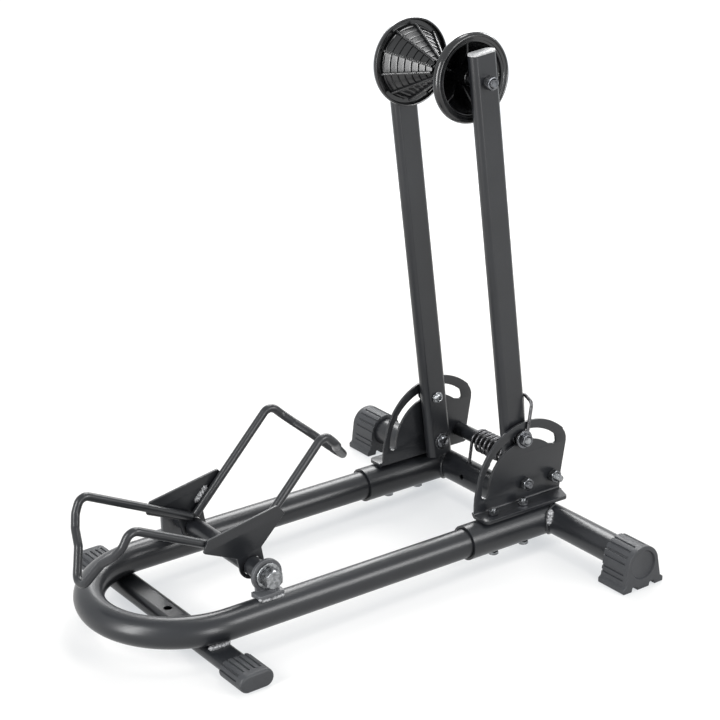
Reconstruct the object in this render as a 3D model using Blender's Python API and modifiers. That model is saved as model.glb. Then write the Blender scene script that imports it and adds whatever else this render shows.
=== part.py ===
"""Bike parking stand: a tube base, a rocking wheel cradle and two sprung arms with cone rollers.

Metres, +Z up. The origin is on the floor below the middle of the footprint. -Y is the end where
the wheel rolls in and +X is the side where the spring's long leg comes over the plate.
Everything bolted to the U tube hangs on the empty frame_axis, which leans back a little
because the front foot bar lifts the bend. The plates' and tubes' sizes are given in that
frame, the arms' sizes along the arms, and the cradle's sizes in the cradle when it is level.
"""
import math

import bmesh
import bpy
from mathutils import Matrix, Vector

# Shared sizes
GAP = 0.0003
M6_RADIUS = 0.003
M8_RADIUS = 0.004
M12_RADIUS = 0.006
DRILL_PLAY = 0.0004
TUBE_RADIUS = 0.016
TUBE_WALL = 0.0015
TUBE_SIDES = 22

# Base frame: the origin's distance from the rear tube, and the U tube's axis plane z = 0
REAR_TUBE_Y = 0.2446
REAR_TUBE_Z = 0.0268
REAR_TUBE_END_X = 0.2425
FRAME_HEIGHT = 0.0277
FRAME_TILT = math.radians(-0.8)
LEG_X = 0.0945
BEND_Y = -0.407
BEND_STEPS = 14
LEG_END_Y = -0.021
SLEEVE_RADIUS = 0.019
SLEEVE_FRONT_Y = -0.1155
SLEEVE_REAR_Y = -0.0055
FRAME_BOLT_X = 0.0962
FRAME_BOLT_Y = (-0.0776, -0.0362)

# Rear feet and front foot bar
FOOT_INNER_X = 0.208
FOOT_OUTER_X = 0.2477
FOOT_HALF_DEPTH = 0.0275
FOOT_ARCH_RADIUS = 0.0206
FOOT_TOE = 0.0056
FOOT_DISH_RADIUS = 0.0155
FOOT_DISH_DEPTH = 0.0024
FOOT_GROOVE_ANGLES = (108, 128, 148, 168)
FOOT_GROOVE_HEIGHTS = (0.0195, 0.0135)
BAR_Y = -0.4252
BAR_DEPTH = 0.030
BAR_HEIGHT = 0.015
BAR_END_X = 0.1665
CAP_DEPTH = 0.0384
CAP_HEIGHT = 0.0192
CAP_INNER_X = 0.131
CAP_OUTER_X = 0.1712
CAP_ROUNDING = 0.003
GROOVE_WIDTH = 0.0016
GROOVE_DEPTH = 0.0008

# Quadrant plates
PIVOT_Y = -0.0246
PIVOT_Z = 0.0411
PLATE_INNER_X = 0.082
PLATE_OUTER_X = 0.085
PLATE_RADIUS = 0.0693
PLATE_ARC_Y = -0.0204
PLATE_ARC_Z = 0.0435
PLATE_FRONT_Y = -0.0935
FLANGE_OUTER_X = 0.108
FLANGE_BASE_Z = 0.0193
FLANGE_TOP_Z = 0.0233
FLANGE_FRONT_Y = -0.0958
FLANGE_REAR_Y = 0.0160
SLOT_RADIUS = 0.0549
SLOT_INNER_RADIUS = 0.0503
SLOT_OUTER_RADIUS = 0.0596
SLOT_WIDE_RADIUS = 0.0627
SLOT_END_ANGLE = 179
SHAFT_Y = 0.0144
SHAFT_Z = 0.0401
SHAFT_END_X = 0.0995
SPACER_RADIUS = 0.008

# Arms: z runs up the arm from its pivot
ARM_LEAN = math.radians(5.76)
ARM_X = 0.0713
ARM_INNER_X = 0.0638
ARM_OUTER_X = 0.0788
ARM_DEPTH = 0.0312
ARM_FOOT_Z = -0.0175
ARM_TOP_Z = 0.4773
AXLE_Z = 0.4487
PIVOT_END_X = 0.0948
# Radii of a round head's washer and crown
PIVOT_HEAD = (0.0095, 0.007)
LIMIT_HEAD = (0.0068, 0.006)
LIMIT_Z = SLOT_RADIUS

# Cone rollers: x is the distance from the middle plane of the stand
CONE_TIP_X = 0.0015
CONE_TIP_RADIUS = 0.0085
CONE_BASE_X = 0.0478
CONE_BASE_RADIUS = 0.0392
CONE_RIM_X = 0.050
CONE_LIP_X = 0.056
CONE_RIM_RADIUS = 0.0465
CONE_SHELL = 0.0038
CONE_STEPS = 7
CONE_STEP_DROP = 0.0009
CONE_RIBS = 10
CONE_RIB_START = 5
CONE_RIB_HEIGHT = 0.0016
CONE_RIB_WIDTH = 0.002
DISH_RIBS = 6
DISH_RIB_START = 35
DISH_FLOOR_X = 0.0145
HUB_RADIUS = 0.009
HUB_END_X = 0.052
HUB_BORE = 0.0044

# Torsion spring: angles run from +Y towards +Z round the spring shaft
WIRE_RADIUS = 0.0019
COIL_RADIUS = 0.0117
COIL_PITCH = 0.0073
COIL_DROP = 0.0010
COIL_START_X = -0.0423
COIL_START_ANGLE = 171
COIL_TURN = 4660.6
POINTS_PER_TURN = 9
LOWER_LEG_LENGTH = 0.038
EYE_RADIUS = 0.0062
EYE_X = 0.0872
EYE_TURN = 275

# Wheel cradle: level and symmetric about its pivot
CRADLE_Y = -0.3575
CRADLE_Z = 0.0342
CRADLE_TILT = math.radians(10.1)
HOOP_ANGLE = math.radians(35.8)
HOOP_OFFSET = 0.011
HOOP_START = 0.0115
HOOP_REACH = 0.1495
HOOP_X = 0.0512
ROD_RADIUS = 0.0045
CRADLE_PLATE_X = (0.0560, 0.0590)
CRADLE_LOBE_RADIUS = 0.0145
CRADLE_TUBE_RADIUS = 0.010
CRADLE_TUBE_BORE = 0.0065
CRADLE_TUBE_END_X = 0.0827
EAR_INNER_X = 0.083
EAR_OUTER_X = 0.087
EAR_RADIUS = 0.0172
EAR_FOOT_X = 0.0995
EAR_FOOT_Z = 0.020
# Front edges on the right (1) and on the left (-1), where the ear is wider
EAR_FRONT_Y = {1: -0.0128, -1: -0.0228}
EAR_LIP_Y = {1: -0.0178, -1: -0.0245}
EAR_REAR_Y = 0.0126

MATERIALS = {}
PARTS = bpy.data.collections.new("bike_parking_stand")
CUTTERS = bpy.data.collections.new("cutters")


def clear_scene():
    """Remove what the file holds and link the two collections."""
    for thing in list(bpy.data.objects):
        bpy.data.objects.remove(thing)
    bpy.context.scene.collection.children.link(PARTS)
    bpy.context.scene.collection.children.link(CUTTERS)


def make_material(name, colour, roughness, metallic):
    material = bpy.data.materials.new(name)
    material.use_nodes = True
    shader = material.node_tree.nodes["Principled BSDF"]
    shader.inputs["Base Color"].default_value = (*colour, 1.0)
    shader.inputs["Roughness"].default_value = roughness
    shader.inputs["Metallic"].default_value = metallic
    MATERIALS[name] = material


def make_empty(name, parent, location, tilt):
    """An empty on an axis along X; its children lean with it."""
    empty = bpy.data.objects.new(name, None)
    PARTS.objects.link(empty)
    empty.parent = parent
    empty.location = location
    empty.rotation_euler = (tilt, 0.0, 0.0)
    return empty


def add_part(name, mesh, material, parent, location=(0.0, 0.0, 0.0)):
    """Link a mesh as one named piece: round faces smooth, edges sharp."""
    part = bpy.data.objects.new(name, mesh)
    PARTS.objects.link(part)
    part.parent = parent
    part.location = location
    mesh.materials.append(MATERIALS[material])
    mesh.shade_smooth()
    mesh.set_sharp_from_angle(angle=math.radians(35))
    return part


def boolean(part, tool, operation="DIFFERENCE"):
    """Cut a part with a tool, or join the tool to it; the tool moves to the cutters."""
    PARTS.objects.unlink(tool)
    CUTTERS.objects.link(tool)
    tool.hide_render = True
    tool.display_type = "WIRE"
    modifier = part.modifiers.new(operation.lower(), "BOOLEAN")
    modifier.operation = operation
    modifier.object = tool
    modifier.solver = "EXACT"


def curve_to_mesh(name, curve):
    """The curve's evaluated mesh, with its caps welded on and its faces pointing out."""
    holder = bpy.data.objects.new(name, curve)
    bpy.context.scene.collection.objects.link(holder)
    graph = bpy.context.evaluated_depsgraph_get()
    mesh = bpy.data.meshes.new_from_object(holder.evaluated_get(graph))
    bpy.data.objects.remove(holder)
    bpy.data.curves.remove(curve)
    mesh.materials.clear()
    shape = bmesh.new()
    shape.from_mesh(mesh)
    bmesh.ops.remove_doubles(shape, verts=shape.verts, dist=0.000005)
    bmesh.ops.recalc_face_normals(shape, faces=shape.faces)
    shape.to_mesh(mesh)
    shape.free()
    return mesh


def flat_mesh(name, loops, low, high, facing="X"):
    """Extrude closed outlines from low to high; the outlines inside the first become holes.

    Facing X the outline's points are (y, z); facing Z they are (x, y).
    """
    curve = bpy.data.curves.new(name, "CURVE")
    curve.dimensions = "2D"
    curve.fill_mode = "BOTH"
    curve.extrude = (high - low) / 2
    for loop in loops:
        spline = curve.splines.new("POLY")
        spline.points.add(len(loop) - 1)
        for point, place in zip(spline.points, loop):
            point.co = (place[0], place[1], 0.0, 1.0)
        spline.use_cyclic_u = True
    mesh = curve_to_mesh(name, curve)
    mesh.transform(Matrix.Translation((0.0, 0.0, (low + high) / 2)))
    if facing == "X":
        mesh.transform(Matrix(((0, 0, 1, 0), (1, 0, 0, 0), (0, 1, 0, 0), (0, 0, 0, 1))))
    return mesh


def rod_mesh(name, points, radius, resolution, capped=True):
    """A round bar of 4 + 2 * resolution sides swept through the points."""
    curve = bpy.data.curves.new(name, "CURVE")
    curve.dimensions = "3D"
    curve.bevel_depth = radius
    curve.bevel_resolution = resolution
    curve.use_fill_caps = capped
    spline = curve.splines.new("POLY")
    spline.points.add(len(points) - 1)
    for point, place in zip(spline.points, points):
        point.co = (*place, 1.0)
    return curve_to_mesh(name, curve)


def turned_part(name, profile, material, parent, location=(0.0, 0.0, 0.0), axis="X", side=1,
                steps=20, closed=True):
    """Turn a profile of (radius, height) points about an axis.

    The profile runs down its outer side. Heights run along +X, +Y or +Z, or along -X for side
    -1. A profile that isn't closed starts and ends on the axis.
    """
    points = [(radius, 0.0, side * height) for radius, height in profile]
    if side < 0:
        points.reverse()
    edges = [(index, index + 1) for index in range(len(points) - 1)]
    if closed:
        edges.append((len(points) - 1, 0))
    mesh = bpy.data.meshes.new(name)
    mesh.from_pydata(points, edges, [])
    part = add_part(name, mesh, material, parent, location)
    turns = {"X": (0.0, math.pi / 2, 0.0), "Y": (-math.pi / 2, 0.0, 0.0), "Z": (0.0, 0.0, 0.0)}
    part.rotation_euler = turns[axis]
    screw = part.modifiers.new("turn", "SCREW")
    screw.steps = steps
    screw.render_steps = steps
    screw.use_merge_vertices = True
    screw.merge_threshold = 0.000005
    screw.use_smooth_shade = True
    return part


def drill(part, name, radius, low, high, parent, location, axis="X", steps=12, phase=0.13):
    """Cut a round hole; the phase turns its facets clear of the edges that it cuts."""
    profile = [(0.0, high), (radius, high), (radius, low), (0.0, low)]
    tool = turned_part(name, profile, "zinc_plate", parent, location, axis, 1, steps, False)
    tool.data.transform(Matrix.Rotation(phase, 4, "Z"))
    boolean(part, tool)
    return tool


def ring(name, outer, inner, low, high, material, parent, location, axis="X", side=1, steps=20):
    """A washer, bush or open tube."""
    profile = [(outer, high), (outer, low), (inner, low), (inner, high)]
    return turned_part(name, profile, material, parent, location, axis, side, steps)


def arc(centre, radius, start, end, count):
    """Points along an arc, from start to end in degrees, both included."""
    points = []
    for index in range(count + 1):
        angle = math.radians(start + (end - start) * index / count)
        points.append((centre[0] + radius * math.cos(angle), centre[1] + radius * math.sin(angle)))
    return points


def circle(centre, radius, count):
    return arc(centre, radius, 0, 360 - 360 / count, count - 1)


def stadium(length, height, centre, count=8):
    """The outline of a flat-sided oval, its long way along the first axis."""
    reach = (length - height) / 2
    right = arc((centre[0] + reach, centre[1]), height / 2, -90, 90, count)
    left = arc((centre[0] - reach, centre[1]), height / 2, 90, 270, count)
    return right + left


def bend(before, here, after, radius, steps):
    """Points of the arc that replaces a corner."""
    first = (before - here).normalized()
    last = (after - here).normalized()
    half = first.angle(last) / 2
    centre = here + (first + last).normalized() * (radius / math.sin(half))
    start = here + first * (radius / math.tan(half)) - centre
    end = here + last * (radius / math.tan(half)) - centre
    turn = start.angle(end)
    points = []
    for step in range(steps + 1):
        share = step / steps
        spoke = start * math.sin((1 - share) * turn) + end * math.sin(share * turn)
        points.append(centre + spoke / math.sin(turn))
    return points


def rounded(corners):
    """A closed outline through (x, y, radius, steps) corners; radius 0 keeps the corner."""
    outline = []
    for index, (x, y, radius, steps) in enumerate(corners):
        here = Vector((x, y))
        if radius == 0:
            outline.append(here)
            continue
        before = Vector(corners[index - 1][:2])
        after = Vector(corners[(index + 1) % len(corners)][:2])
        outline.extend(bend(before, here, after, radius, steps))
    return outline


def bent_path(corners):
    """A path in space through (x, y, z, radius, steps) corners, its bends drawn as arcs."""
    path = [Vector(corners[0][:3])]
    for index in range(1, len(corners) - 1):
        before, here, after = (Vector(corners[index + step][:3]) for step in (-1, 0, 1))
        path.extend(bend(before, here, after, *corners[index][3:]))
    path.append(Vector(corners[-1][:3]))
    return path


def round_off(part, width, segments, test):
    """Bevel only the edges whose two ends pass a test on their position."""
    mesh = part.data
    weights = mesh.attributes.new("bevel_weight_edge", "FLOAT", "EDGE")
    for edge in mesh.edges:
        if all(test(mesh.vertices[index].co) for index in edge.vertices):
            weights.data[edge.index].value = 1.0
    modifier = part.modifiers.new("rounding", "BEVEL")
    modifier.limit_method = "WEIGHT"
    modifier.width = width
    modifier.segments = segments


def groove_bars(name, places, low, high):
    """Bars along X that cut shallow grooves: each place is (y, z, angle of the surface)."""
    shape = bmesh.new()
    size = Matrix.Diagonal((high - low, GROOVE_WIDTH, 2 * GROOVE_DEPTH, 1.0))
    for y, z, angle in places:
        turn = Matrix.Rotation(math.radians(angle - 90), 4, "X")
        place = Matrix.Translation(((low + high) / 2, y, z))
        bmesh.ops.create_cube(shape, size=1.0, matrix=place @ turn @ size)
    mesh = bpy.data.meshes.new(name)
    shape.to_mesh(mesh)
    shape.free()
    return mesh


def turned_copies(mesh, count, start):
    """The mesh repeated about the X axis, all in one mesh."""
    shape = bmesh.new()
    for index in range(count):
        copy = mesh.copy()
        copy.transform(Matrix.Rotation(math.radians(start + 360 * index / count), 4, "X"))
        shape.from_mesh(copy)
        bpy.data.meshes.remove(copy)
    shape.to_mesh(mesh)
    shape.free()
    return mesh


def on_side(side, low, high):
    """Two distances from the middle plane as X values on one side, the lower value first."""
    return (low, high) if side > 0 else (-high, -low)


def make_nut(name, side, low, high, across_flats, bore, material, parent, y, z, turn):
    """A hexagon nut on a bolt along X."""
    hexagon = arc((0.0, 0.0), across_flats / math.sqrt(3), turn, turn + 300, 5)
    mesh = flat_mesh(name, [hexagon, circle((0.0, 0.0), bore, 12)], *on_side(side, low, high))
    return add_part(name, mesh, material, parent, (0.0, y, z))


def make_base_tube(frame):
    """One tube bent to a U, open at its two ends, drilled for the frame bolts."""
    bow = []
    for index in range(BEND_STEPS + 1):
        angle = math.pi * index / BEND_STEPS
        bow.append((LEG_X * math.cos(angle), BEND_Y - LEG_X * math.sin(angle), 0.0))
    path = [(LEG_X, LEG_END_Y, 0.0)] + bow + [(-LEG_X, LEG_END_Y, 0.0)]
    mesh = rod_mesh("base_tube", path, TUBE_RADIUS, 7, False)
    tube = add_part("base_tube", mesh, "powder_coat", frame)
    wall = tube.modifiers.new("wall", "SOLIDIFY")
    wall.thickness = TUBE_WALL
    wall.offset = -1.0
    for side in (-1, 1):
        for index, bolt_y in enumerate(FRAME_BOLT_Y):
            drill(tube, f"leg_drill_{side}_{index}", M6_RADIUS + DRILL_PLAY, -0.03, 0.03, frame,
                  (side * FRAME_BOLT_X, bolt_y, 0.0), "Z", 10)


def make_sleeve(stand, frame, side, word):
    """A short tube round the end of a leg; its rear end is coped to the rear tube."""
    name = f"{word}_sleeve"
    sleeve = ring(name, SLEEVE_RADIUS, TUBE_RADIUS + 0.0005, SLEEVE_FRONT_Y, SLEEVE_REAR_Y,
                  "powder_coat", frame, (side * LEG_X, 0.0, 0.0), "Y", 1, TUBE_SIDES)
    drill(sleeve, f"{name}_cope", TUBE_RADIUS + 0.0004, -0.03, 0.03, stand,
          (side * LEG_X, REAR_TUBE_Y, REAR_TUBE_Z), "X", TUBE_SIDES, 0.0)
    for index, bolt_y in enumerate(FRAME_BOLT_Y):
        drill(sleeve, f"{name}_drill_{index}", M6_RADIUS + DRILL_PLAY, -0.03, 0.03, frame,
              (side * FRAME_BOLT_X, bolt_y, 0.0), "Z", 10)


def make_rear_tube(stand):
    """The rear cross tube, with the hole for the spring's lower leg and a vent hole."""
    tube = ring("rear_tube", TUBE_RADIUS, TUBE_RADIUS - TUBE_WALL, -REAR_TUBE_END_X,
                REAR_TUBE_END_X, "powder_coat", stand, (0.0, REAR_TUBE_Y, REAR_TUBE_Z), "X", 1,
                TUBE_SIDES)
    end, top = spring_lower_leg()
    place = frame_matrix() @ end.lerp(top, 0.2)
    hole = drill(tube, "spring_leg_hole", WIRE_RADIUS + 0.0008, -0.014, 0.014, stand, place, "Z")
    hole.rotation_euler = (math.radians(COIL_START_ANGLE - 180) + FRAME_TILT, 0.0, 0.0)
    drill(tube, "vent_hole", 0.003, -0.03, -0.006, stand,
          (-0.0386, REAR_TUBE_Y, REAR_TUBE_Z + 0.003), "Y")


def make_rear_foot(stand, side, word):
    """A moulded foot on the rear tube: arch on tapered flanks, grooved, with three pads."""
    name = f"{word}_rear_foot"
    low, high = on_side(side, FOOT_INNER_X, FOOT_OUTER_X)
    crown = arc((0.0, REAR_TUBE_Z), FOOT_ARCH_RADIUS, 8, 172, 18)
    flank = [(FOOT_HALF_DEPTH, 0.0), (FOOT_HALF_DEPTH, FOOT_TOE), (0.0238, FOOT_TOE + 0.0025)]
    notch = [(-0.0158, 0.0), (-0.0148, 0.0045), (-0.012, 0.0051), (-0.009, 0.004), (-0.008, 0.0)]
    outline = flank + crown + [(-y, z) for y, z in reversed(flank)]
    outline += notch + [(-y - 0.001, z) for y, z in reversed(notch)]
    foot = add_part(name, flat_mesh(name, [outline], low, high), "moulded_plastic", stand,
                    (0.0, REAR_TUBE_Y, 0.0))
    places = []
    for angle in FOOT_GROOVE_ANGLES:
        for turn in (angle, 180 - angle):
            places.append((*arc((0.0, REAR_TUBE_Z), FOOT_ARCH_RADIUS, turn, turn, 1)[0], turn))
    for height in FOOT_GROOVE_HEIGHTS:
        reach = 0.0238 - (height - FOOT_TOE - 0.0025) * 0.158
        places.extend([(-reach, height, 171), (reach, height, 9)])
    bars = groove_bars(f"{name}_grooves", places, *on_side(side, FOOT_INNER_X - 0.002,
                                                           FOOT_OUTER_X - 0.006))
    boolean(foot, add_part(f"{name}_grooves", bars, "moulded_plastic", stand,
                           (0.0, REAR_TUBE_Y, 0.0)))
    axis_point = (0.0, REAR_TUBE_Y, REAR_TUBE_Z)
    drill(foot, f"{name}_bore", TUBE_RADIUS + 0.0004,
          *on_side(side, FOOT_INNER_X - 0.01, REAR_TUBE_END_X + GAP), stand, axis_point, "X",
          TUBE_SIDES, 0.0)
    drill(foot, f"{name}_dish", FOOT_DISH_RADIUS,
          *on_side(side, FOOT_OUTER_X - FOOT_DISH_DEPTH, FOOT_OUTER_X + 0.01), stand, axis_point, "X",
          TUBE_SIDES, 0.0)


def make_foot_bar(stand):
    """The flat-oval tube under the bend, with a drilled hole in its top."""
    centre = (REAR_TUBE_Y + BAR_Y, CAP_HEIGHT / 2)
    outer = stadium(BAR_DEPTH, BAR_HEIGHT, centre)
    inner = stadium(BAR_DEPTH - 2 * TUBE_WALL, BAR_HEIGHT - 2 * TUBE_WALL, centre)
    mesh = flat_mesh("front_foot_bar", [outer, inner], -BAR_END_X, BAR_END_X)
    bar = add_part("front_foot_bar", mesh, "powder_coat", stand)
    drill(bar, "foot_bar_hole", 0.0045, CAP_HEIGHT / 2, 0.03, stand, (0.0, centre[0], 0.0), "Z", 14)


def make_front_cap(stand, side, word):
    """A moulded cap on the end of the foot bar, grooved along the bar."""
    name = f"{word}_front_cap"
    centre = (REAR_TUBE_Y + BAR_Y, CAP_HEIGHT / 2)
    low, high = on_side(side, CAP_INNER_X, CAP_OUTER_X)
    mesh = flat_mesh(name, [stadium(CAP_DEPTH, CAP_HEIGHT, centre, 7)], low, high)
    cap = add_part(name, mesh, "moulded_plastic", stand)
    round_off(cap, CAP_ROUNDING, 2, lambda place: abs(place.x) > CAP_OUTER_X - 0.001)
    places = [(centre[0] + shift, CAP_HEIGHT, 90) for shift in (-0.0095, -0.0032, 0.0032, 0.0095)]
    reach = (CAP_DEPTH - CAP_HEIGHT) / 2
    for end in (-1, 1):
        for angle in (55, 20):
            spot = arc((centre[0], centre[1]), CAP_HEIGHT / 2, angle, angle, 1)[0]
            turn = angle if end > 0 else 180 - angle
            places.append((centre[0] + end * (spot[0] - centre[0] + reach), spot[1], turn))
    bars = groove_bars(f"{name}_grooves", places, *on_side(side, CAP_INNER_X + 0.006,
                                                           CAP_OUTER_X - 0.009))
    boolean(cap, add_part(f"{name}_grooves", bars, "moulded_plastic", stand))
    bore = flat_mesh(f"{name}_bore", [stadium(BAR_DEPTH + 0.0007, BAR_HEIGHT + 0.0007, centre)],
                     *on_side(side, CAP_INNER_X - 0.01, BAR_END_X + GAP))
    boolean(cap, add_part(f"{name}_bore", bore, "moulded_plastic", stand))


def slot_outline():
    """The curved slot: narrow at the front, where its edge has a small tooth, wide at the back."""
    centre = (PIVOT_Y, PIVOT_Z)
    middle = (SLOT_INNER_RADIUS + SLOT_OUTER_RADIUS) / 2
    front = arc(centre, middle, SLOT_END_ANGLE, SLOT_END_ANGLE, 1)[0]
    end = (SLOT_OUTER_RADIUS - SLOT_INNER_RADIUS) / 2
    outline = arc(front, end, SLOT_END_ANGLE + 180, SLOT_END_ANGLE, 6)
    outline += arc(centre, SLOT_OUTER_RADIUS, SLOT_END_ANGLE - 2.5, 149, 3)
    outline += arc(centre, SLOT_OUTER_RADIUS - 0.0008, 147.5, 144.5, 1)
    outline += arc(centre, SLOT_OUTER_RADIUS, 143, 93, 8)
    outline += arc(centre, SLOT_WIDE_RADIUS, 89.5, 48, 7)
    outline += arc(centre, SLOT_WIDE_RADIUS - 0.002, 44.5, 44.5, 1)[:1]
    outline += arc(centre, 0.0575, 40.5, 40.5, 1)[:1]
    outline += arc(centre, 0.0545, 41, 41, 1)[:1]
    outline += arc(centre, 0.0520, 45.5, 45.5, 1)[:1]
    outline += arc(centre, SLOT_INNER_RADIUS, 49, SLOT_END_ANGLE - 2.5, 19)
    return outline


def make_quadrant_plate(frame, side, word):
    """A steel plate with a bolted foot, a quadrant top and the slot that limits the arm."""
    name = f"{word}_quadrant_plate"
    base = FLANGE_BASE_Z + 0.0008
    outline = [(PLATE_FRONT_Y, base), (0.0245, base), (0.0245, 0.0226), (0.0265, 0.0424),
               (0.0288, 0.0538), (0.0319, 0.0696), (0.0332, 0.0764), (0.0333, 0.0812),
               (0.0318, 0.0863), (0.0288, 0.0912)]
    outline += arc((PLATE_ARC_Y, PLATE_ARC_Z), PLATE_RADIUS, 46, 168, 20)
    outline += [(-0.0906, 0.0498), (-0.0925, 0.0410), (-0.0933, 0.0330), (PLATE_FRONT_Y, 0.0255)]
    holes = [slot_outline(), circle((PIVOT_Y, PIVOT_Z), M8_RADIUS + DRILL_PLAY, 16),
             circle((SHAFT_Y, SHAFT_Z), M8_RADIUS + DRILL_PLAY, 16)]
    web = flat_mesh(name, [outline] + holes, *on_side(side, PLATE_INNER_X, PLATE_OUTER_X))
    plate = add_part(name, web, "powder_coat", frame)
    inner = side * (PLATE_INNER_X + 0.0005)
    outer = side * FLANGE_OUTER_X
    flange = rounded([(inner, FLANGE_FRONT_Y, 0, 0), (outer, FLANGE_FRONT_Y, 0.006, 5),
                      (outer, FLANGE_REAR_Y, 0.004, 3), (side * 0.0925, 0.0215, 0, 0),
                      (inner, 0.0238, 0, 0)])
    holes = []
    for bolt_y in FRAME_BOLT_Y:
        holes.append(circle((side * FRAME_BOLT_X, bolt_y), M6_RADIUS + DRILL_PLAY, 12))
    mesh = flat_mesh(f"{name}_flange", [flange] + holes, FLANGE_BASE_Z, FLANGE_TOP_Z, "Z")
    boolean(plate, add_part(f"{name}_flange", mesh, "powder_coat", frame), "UNION")


def make_frame_bolt(frame, side, word, index):
    """A bolt up through sleeve, leg and flange, and its nut on the flange."""
    place = (side * FRAME_BOLT_X, FRAME_BOLT_Y[index], 0.0)
    name = f"{word}_frame_bolt_{index + 1}"
    shank_top = FLANGE_TOP_Z + 0.0075
    head_top = -SLEEVE_RADIUS - 0.0005
    profile = [(0.0, shank_top), (M6_RADIUS, shank_top), (M6_RADIUS, head_top),
               (0.0055, head_top), (0.0052, head_top - 0.0025), (0.003, head_top - 0.0036),
               (0.0, head_top - 0.0036)]
    turned_part(name, profile, "black_oxide", frame, place, "Z", 1, 12, False)
    name = f"{word}_frame_nut_{index + 1}"
    hexagon = arc(place, 0.010 / math.sqrt(3), 10 + 40 * index, 310 + 40 * index, 5)
    bore = circle(place, M6_RADIUS + DRILL_PLAY, 12)
    low = FLANGE_TOP_Z + GAP
    mesh = flat_mesh(name, [hexagon, bore], low, low + 0.005, "Z")
    add_part(name, mesh, "zinc_plate", frame)


def make_arm(arms, side, word):
    """A flat-oval tube with cross holes for the pivot, the limit bolt and the roller axle."""
    name = f"{word}_arm"
    centre = (side * ARM_X, 0.0)
    thick = ARM_OUTER_X - ARM_INNER_X
    outer = [(centre[0] + y, x) for x, y in stadium(ARM_DEPTH, thick, (0.0, 0.0), 6)]
    inner = stadium(ARM_DEPTH - 2 * TUBE_WALL, thick - 2 * TUBE_WALL, (0.0, 0.0), 6)
    inner = [(centre[0] + y, x) for x, y in inner]
    mesh = flat_mesh(name, [outer, inner], ARM_FOOT_Z, ARM_TOP_Z, "Z")
    arm = add_part(name, mesh, "powder_coat", arms)
    for index, height in enumerate((0.0, LIMIT_Z, AXLE_Z)):
        drill(arm, f"{name}_drill_{index}", M8_RADIUS + DRILL_PLAY,
              *on_side(side, ARM_INNER_X - 0.01, ARM_OUTER_X + 0.01), arms, (0.0, 0.0, height))


def make_arm_cap(arms, side, word):
    """A plug with a flat head that closes the top of an arm."""
    name = f"{word}_arm_cap"
    thick = ARM_OUTER_X - ARM_INNER_X
    head = stadium(ARM_DEPTH, thick, (0.0, 0.0), 6)
    plug = stadium(ARM_DEPTH - 0.0038, thick - 0.0038, (0.0, 0.0), 6)
    low = ARM_TOP_Z + GAP
    mesh = flat_mesh(name, [[(side * ARM_X + y, x) for x, y in head]], low, low + 0.0018, "Z")
    cap = add_part(name, mesh, "bright_plastic", arms)
    plug = flat_mesh(f"{name}_plug", [[(side * ARM_X + y, x) for x, y in plug]],
                     ARM_TOP_Z - 0.010, low + 0.001, "Z")
    boolean(cap, add_part(f"{name}_plug", plug, "bright_plastic", arms), "UNION")


def make_cross_bolt(name, parent, z, side, shank_end, rim, crown):
    """A round-headed bolt through an arm from its inner face, its head formed with a washer."""
    face = ARM_INNER_X - GAP
    profile = [(0.0, shank_end), (M8_RADIUS - 0.0006, shank_end),
               (M8_RADIUS, shank_end - 0.0008), (M8_RADIUS, face), (rim, face),
               (rim, face - 0.0014), (crown, face - 0.0014)]
    profile += [(0.94 * crown, face - 0.0030), (0.74 * crown, face - 0.0042),
                (0.43 * crown, face - 0.0048), (0.0, face - 0.0048)]
    turned_part(name, profile, "black_oxide", parent, (0.0, 0.0, z), "X", side, 12, False)


def make_pivot(frame, arms, side, word):
    """The bolt that an arm turns on, the spacer between arm and plate, and the nut outside."""
    make_cross_bolt(f"{word}_pivot_bolt", arms, 0.0, side, PIVOT_END_X, *PIVOT_HEAD)
    ring(f"{word}_pivot_spacer", 0.0095, M8_RADIUS + DRILL_PLAY, ARM_OUTER_X + GAP,
         PLATE_INNER_X - GAP, "black_oxide", arms, (0.0, 0.0, 0.0), "X", side, 14)
    low = PLATE_OUTER_X + GAP
    make_nut(f"{word}_pivot_nut", side, low, low + 0.0065, 0.013, M8_RADIUS + DRILL_PLAY,
             "black_oxide", arms, 0.0, 0.0, 20)


def make_limit(arms, side, word):
    """The bolt that runs in the slot, with its spacer, its wide washer and its nut."""
    ring(f"{word}_limit_spacer", 0.008, M8_RADIUS + DRILL_PLAY, ARM_OUTER_X + GAP,
         PLATE_INNER_X - GAP, "black_oxide", arms, (0.0, 0.0, LIMIT_Z), "X", side, 14)
    low = PLATE_OUTER_X + GAP
    if side > 0:
        low = EYE_X + WIRE_RADIUS + GAP
    ring(f"{word}_limit_washer", 0.010, M8_RADIUS + DRILL_PLAY, low, low + 0.002,
         "black_oxide", arms, (0.0, 0.0, LIMIT_Z), "X", side, 18)
    low = low + 0.002 + GAP
    make_cross_bolt(f"{word}_limit_bolt", arms, LIMIT_Z, side, low + 0.0060, *LIMIT_HEAD)
    make_nut(f"{word}_limit_nut", side, low, low + 0.0050, 0.013, M8_RADIUS + DRILL_PLAY,
             "black_oxide", arms, 0.0, LIMIT_Z, 5)


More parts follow.
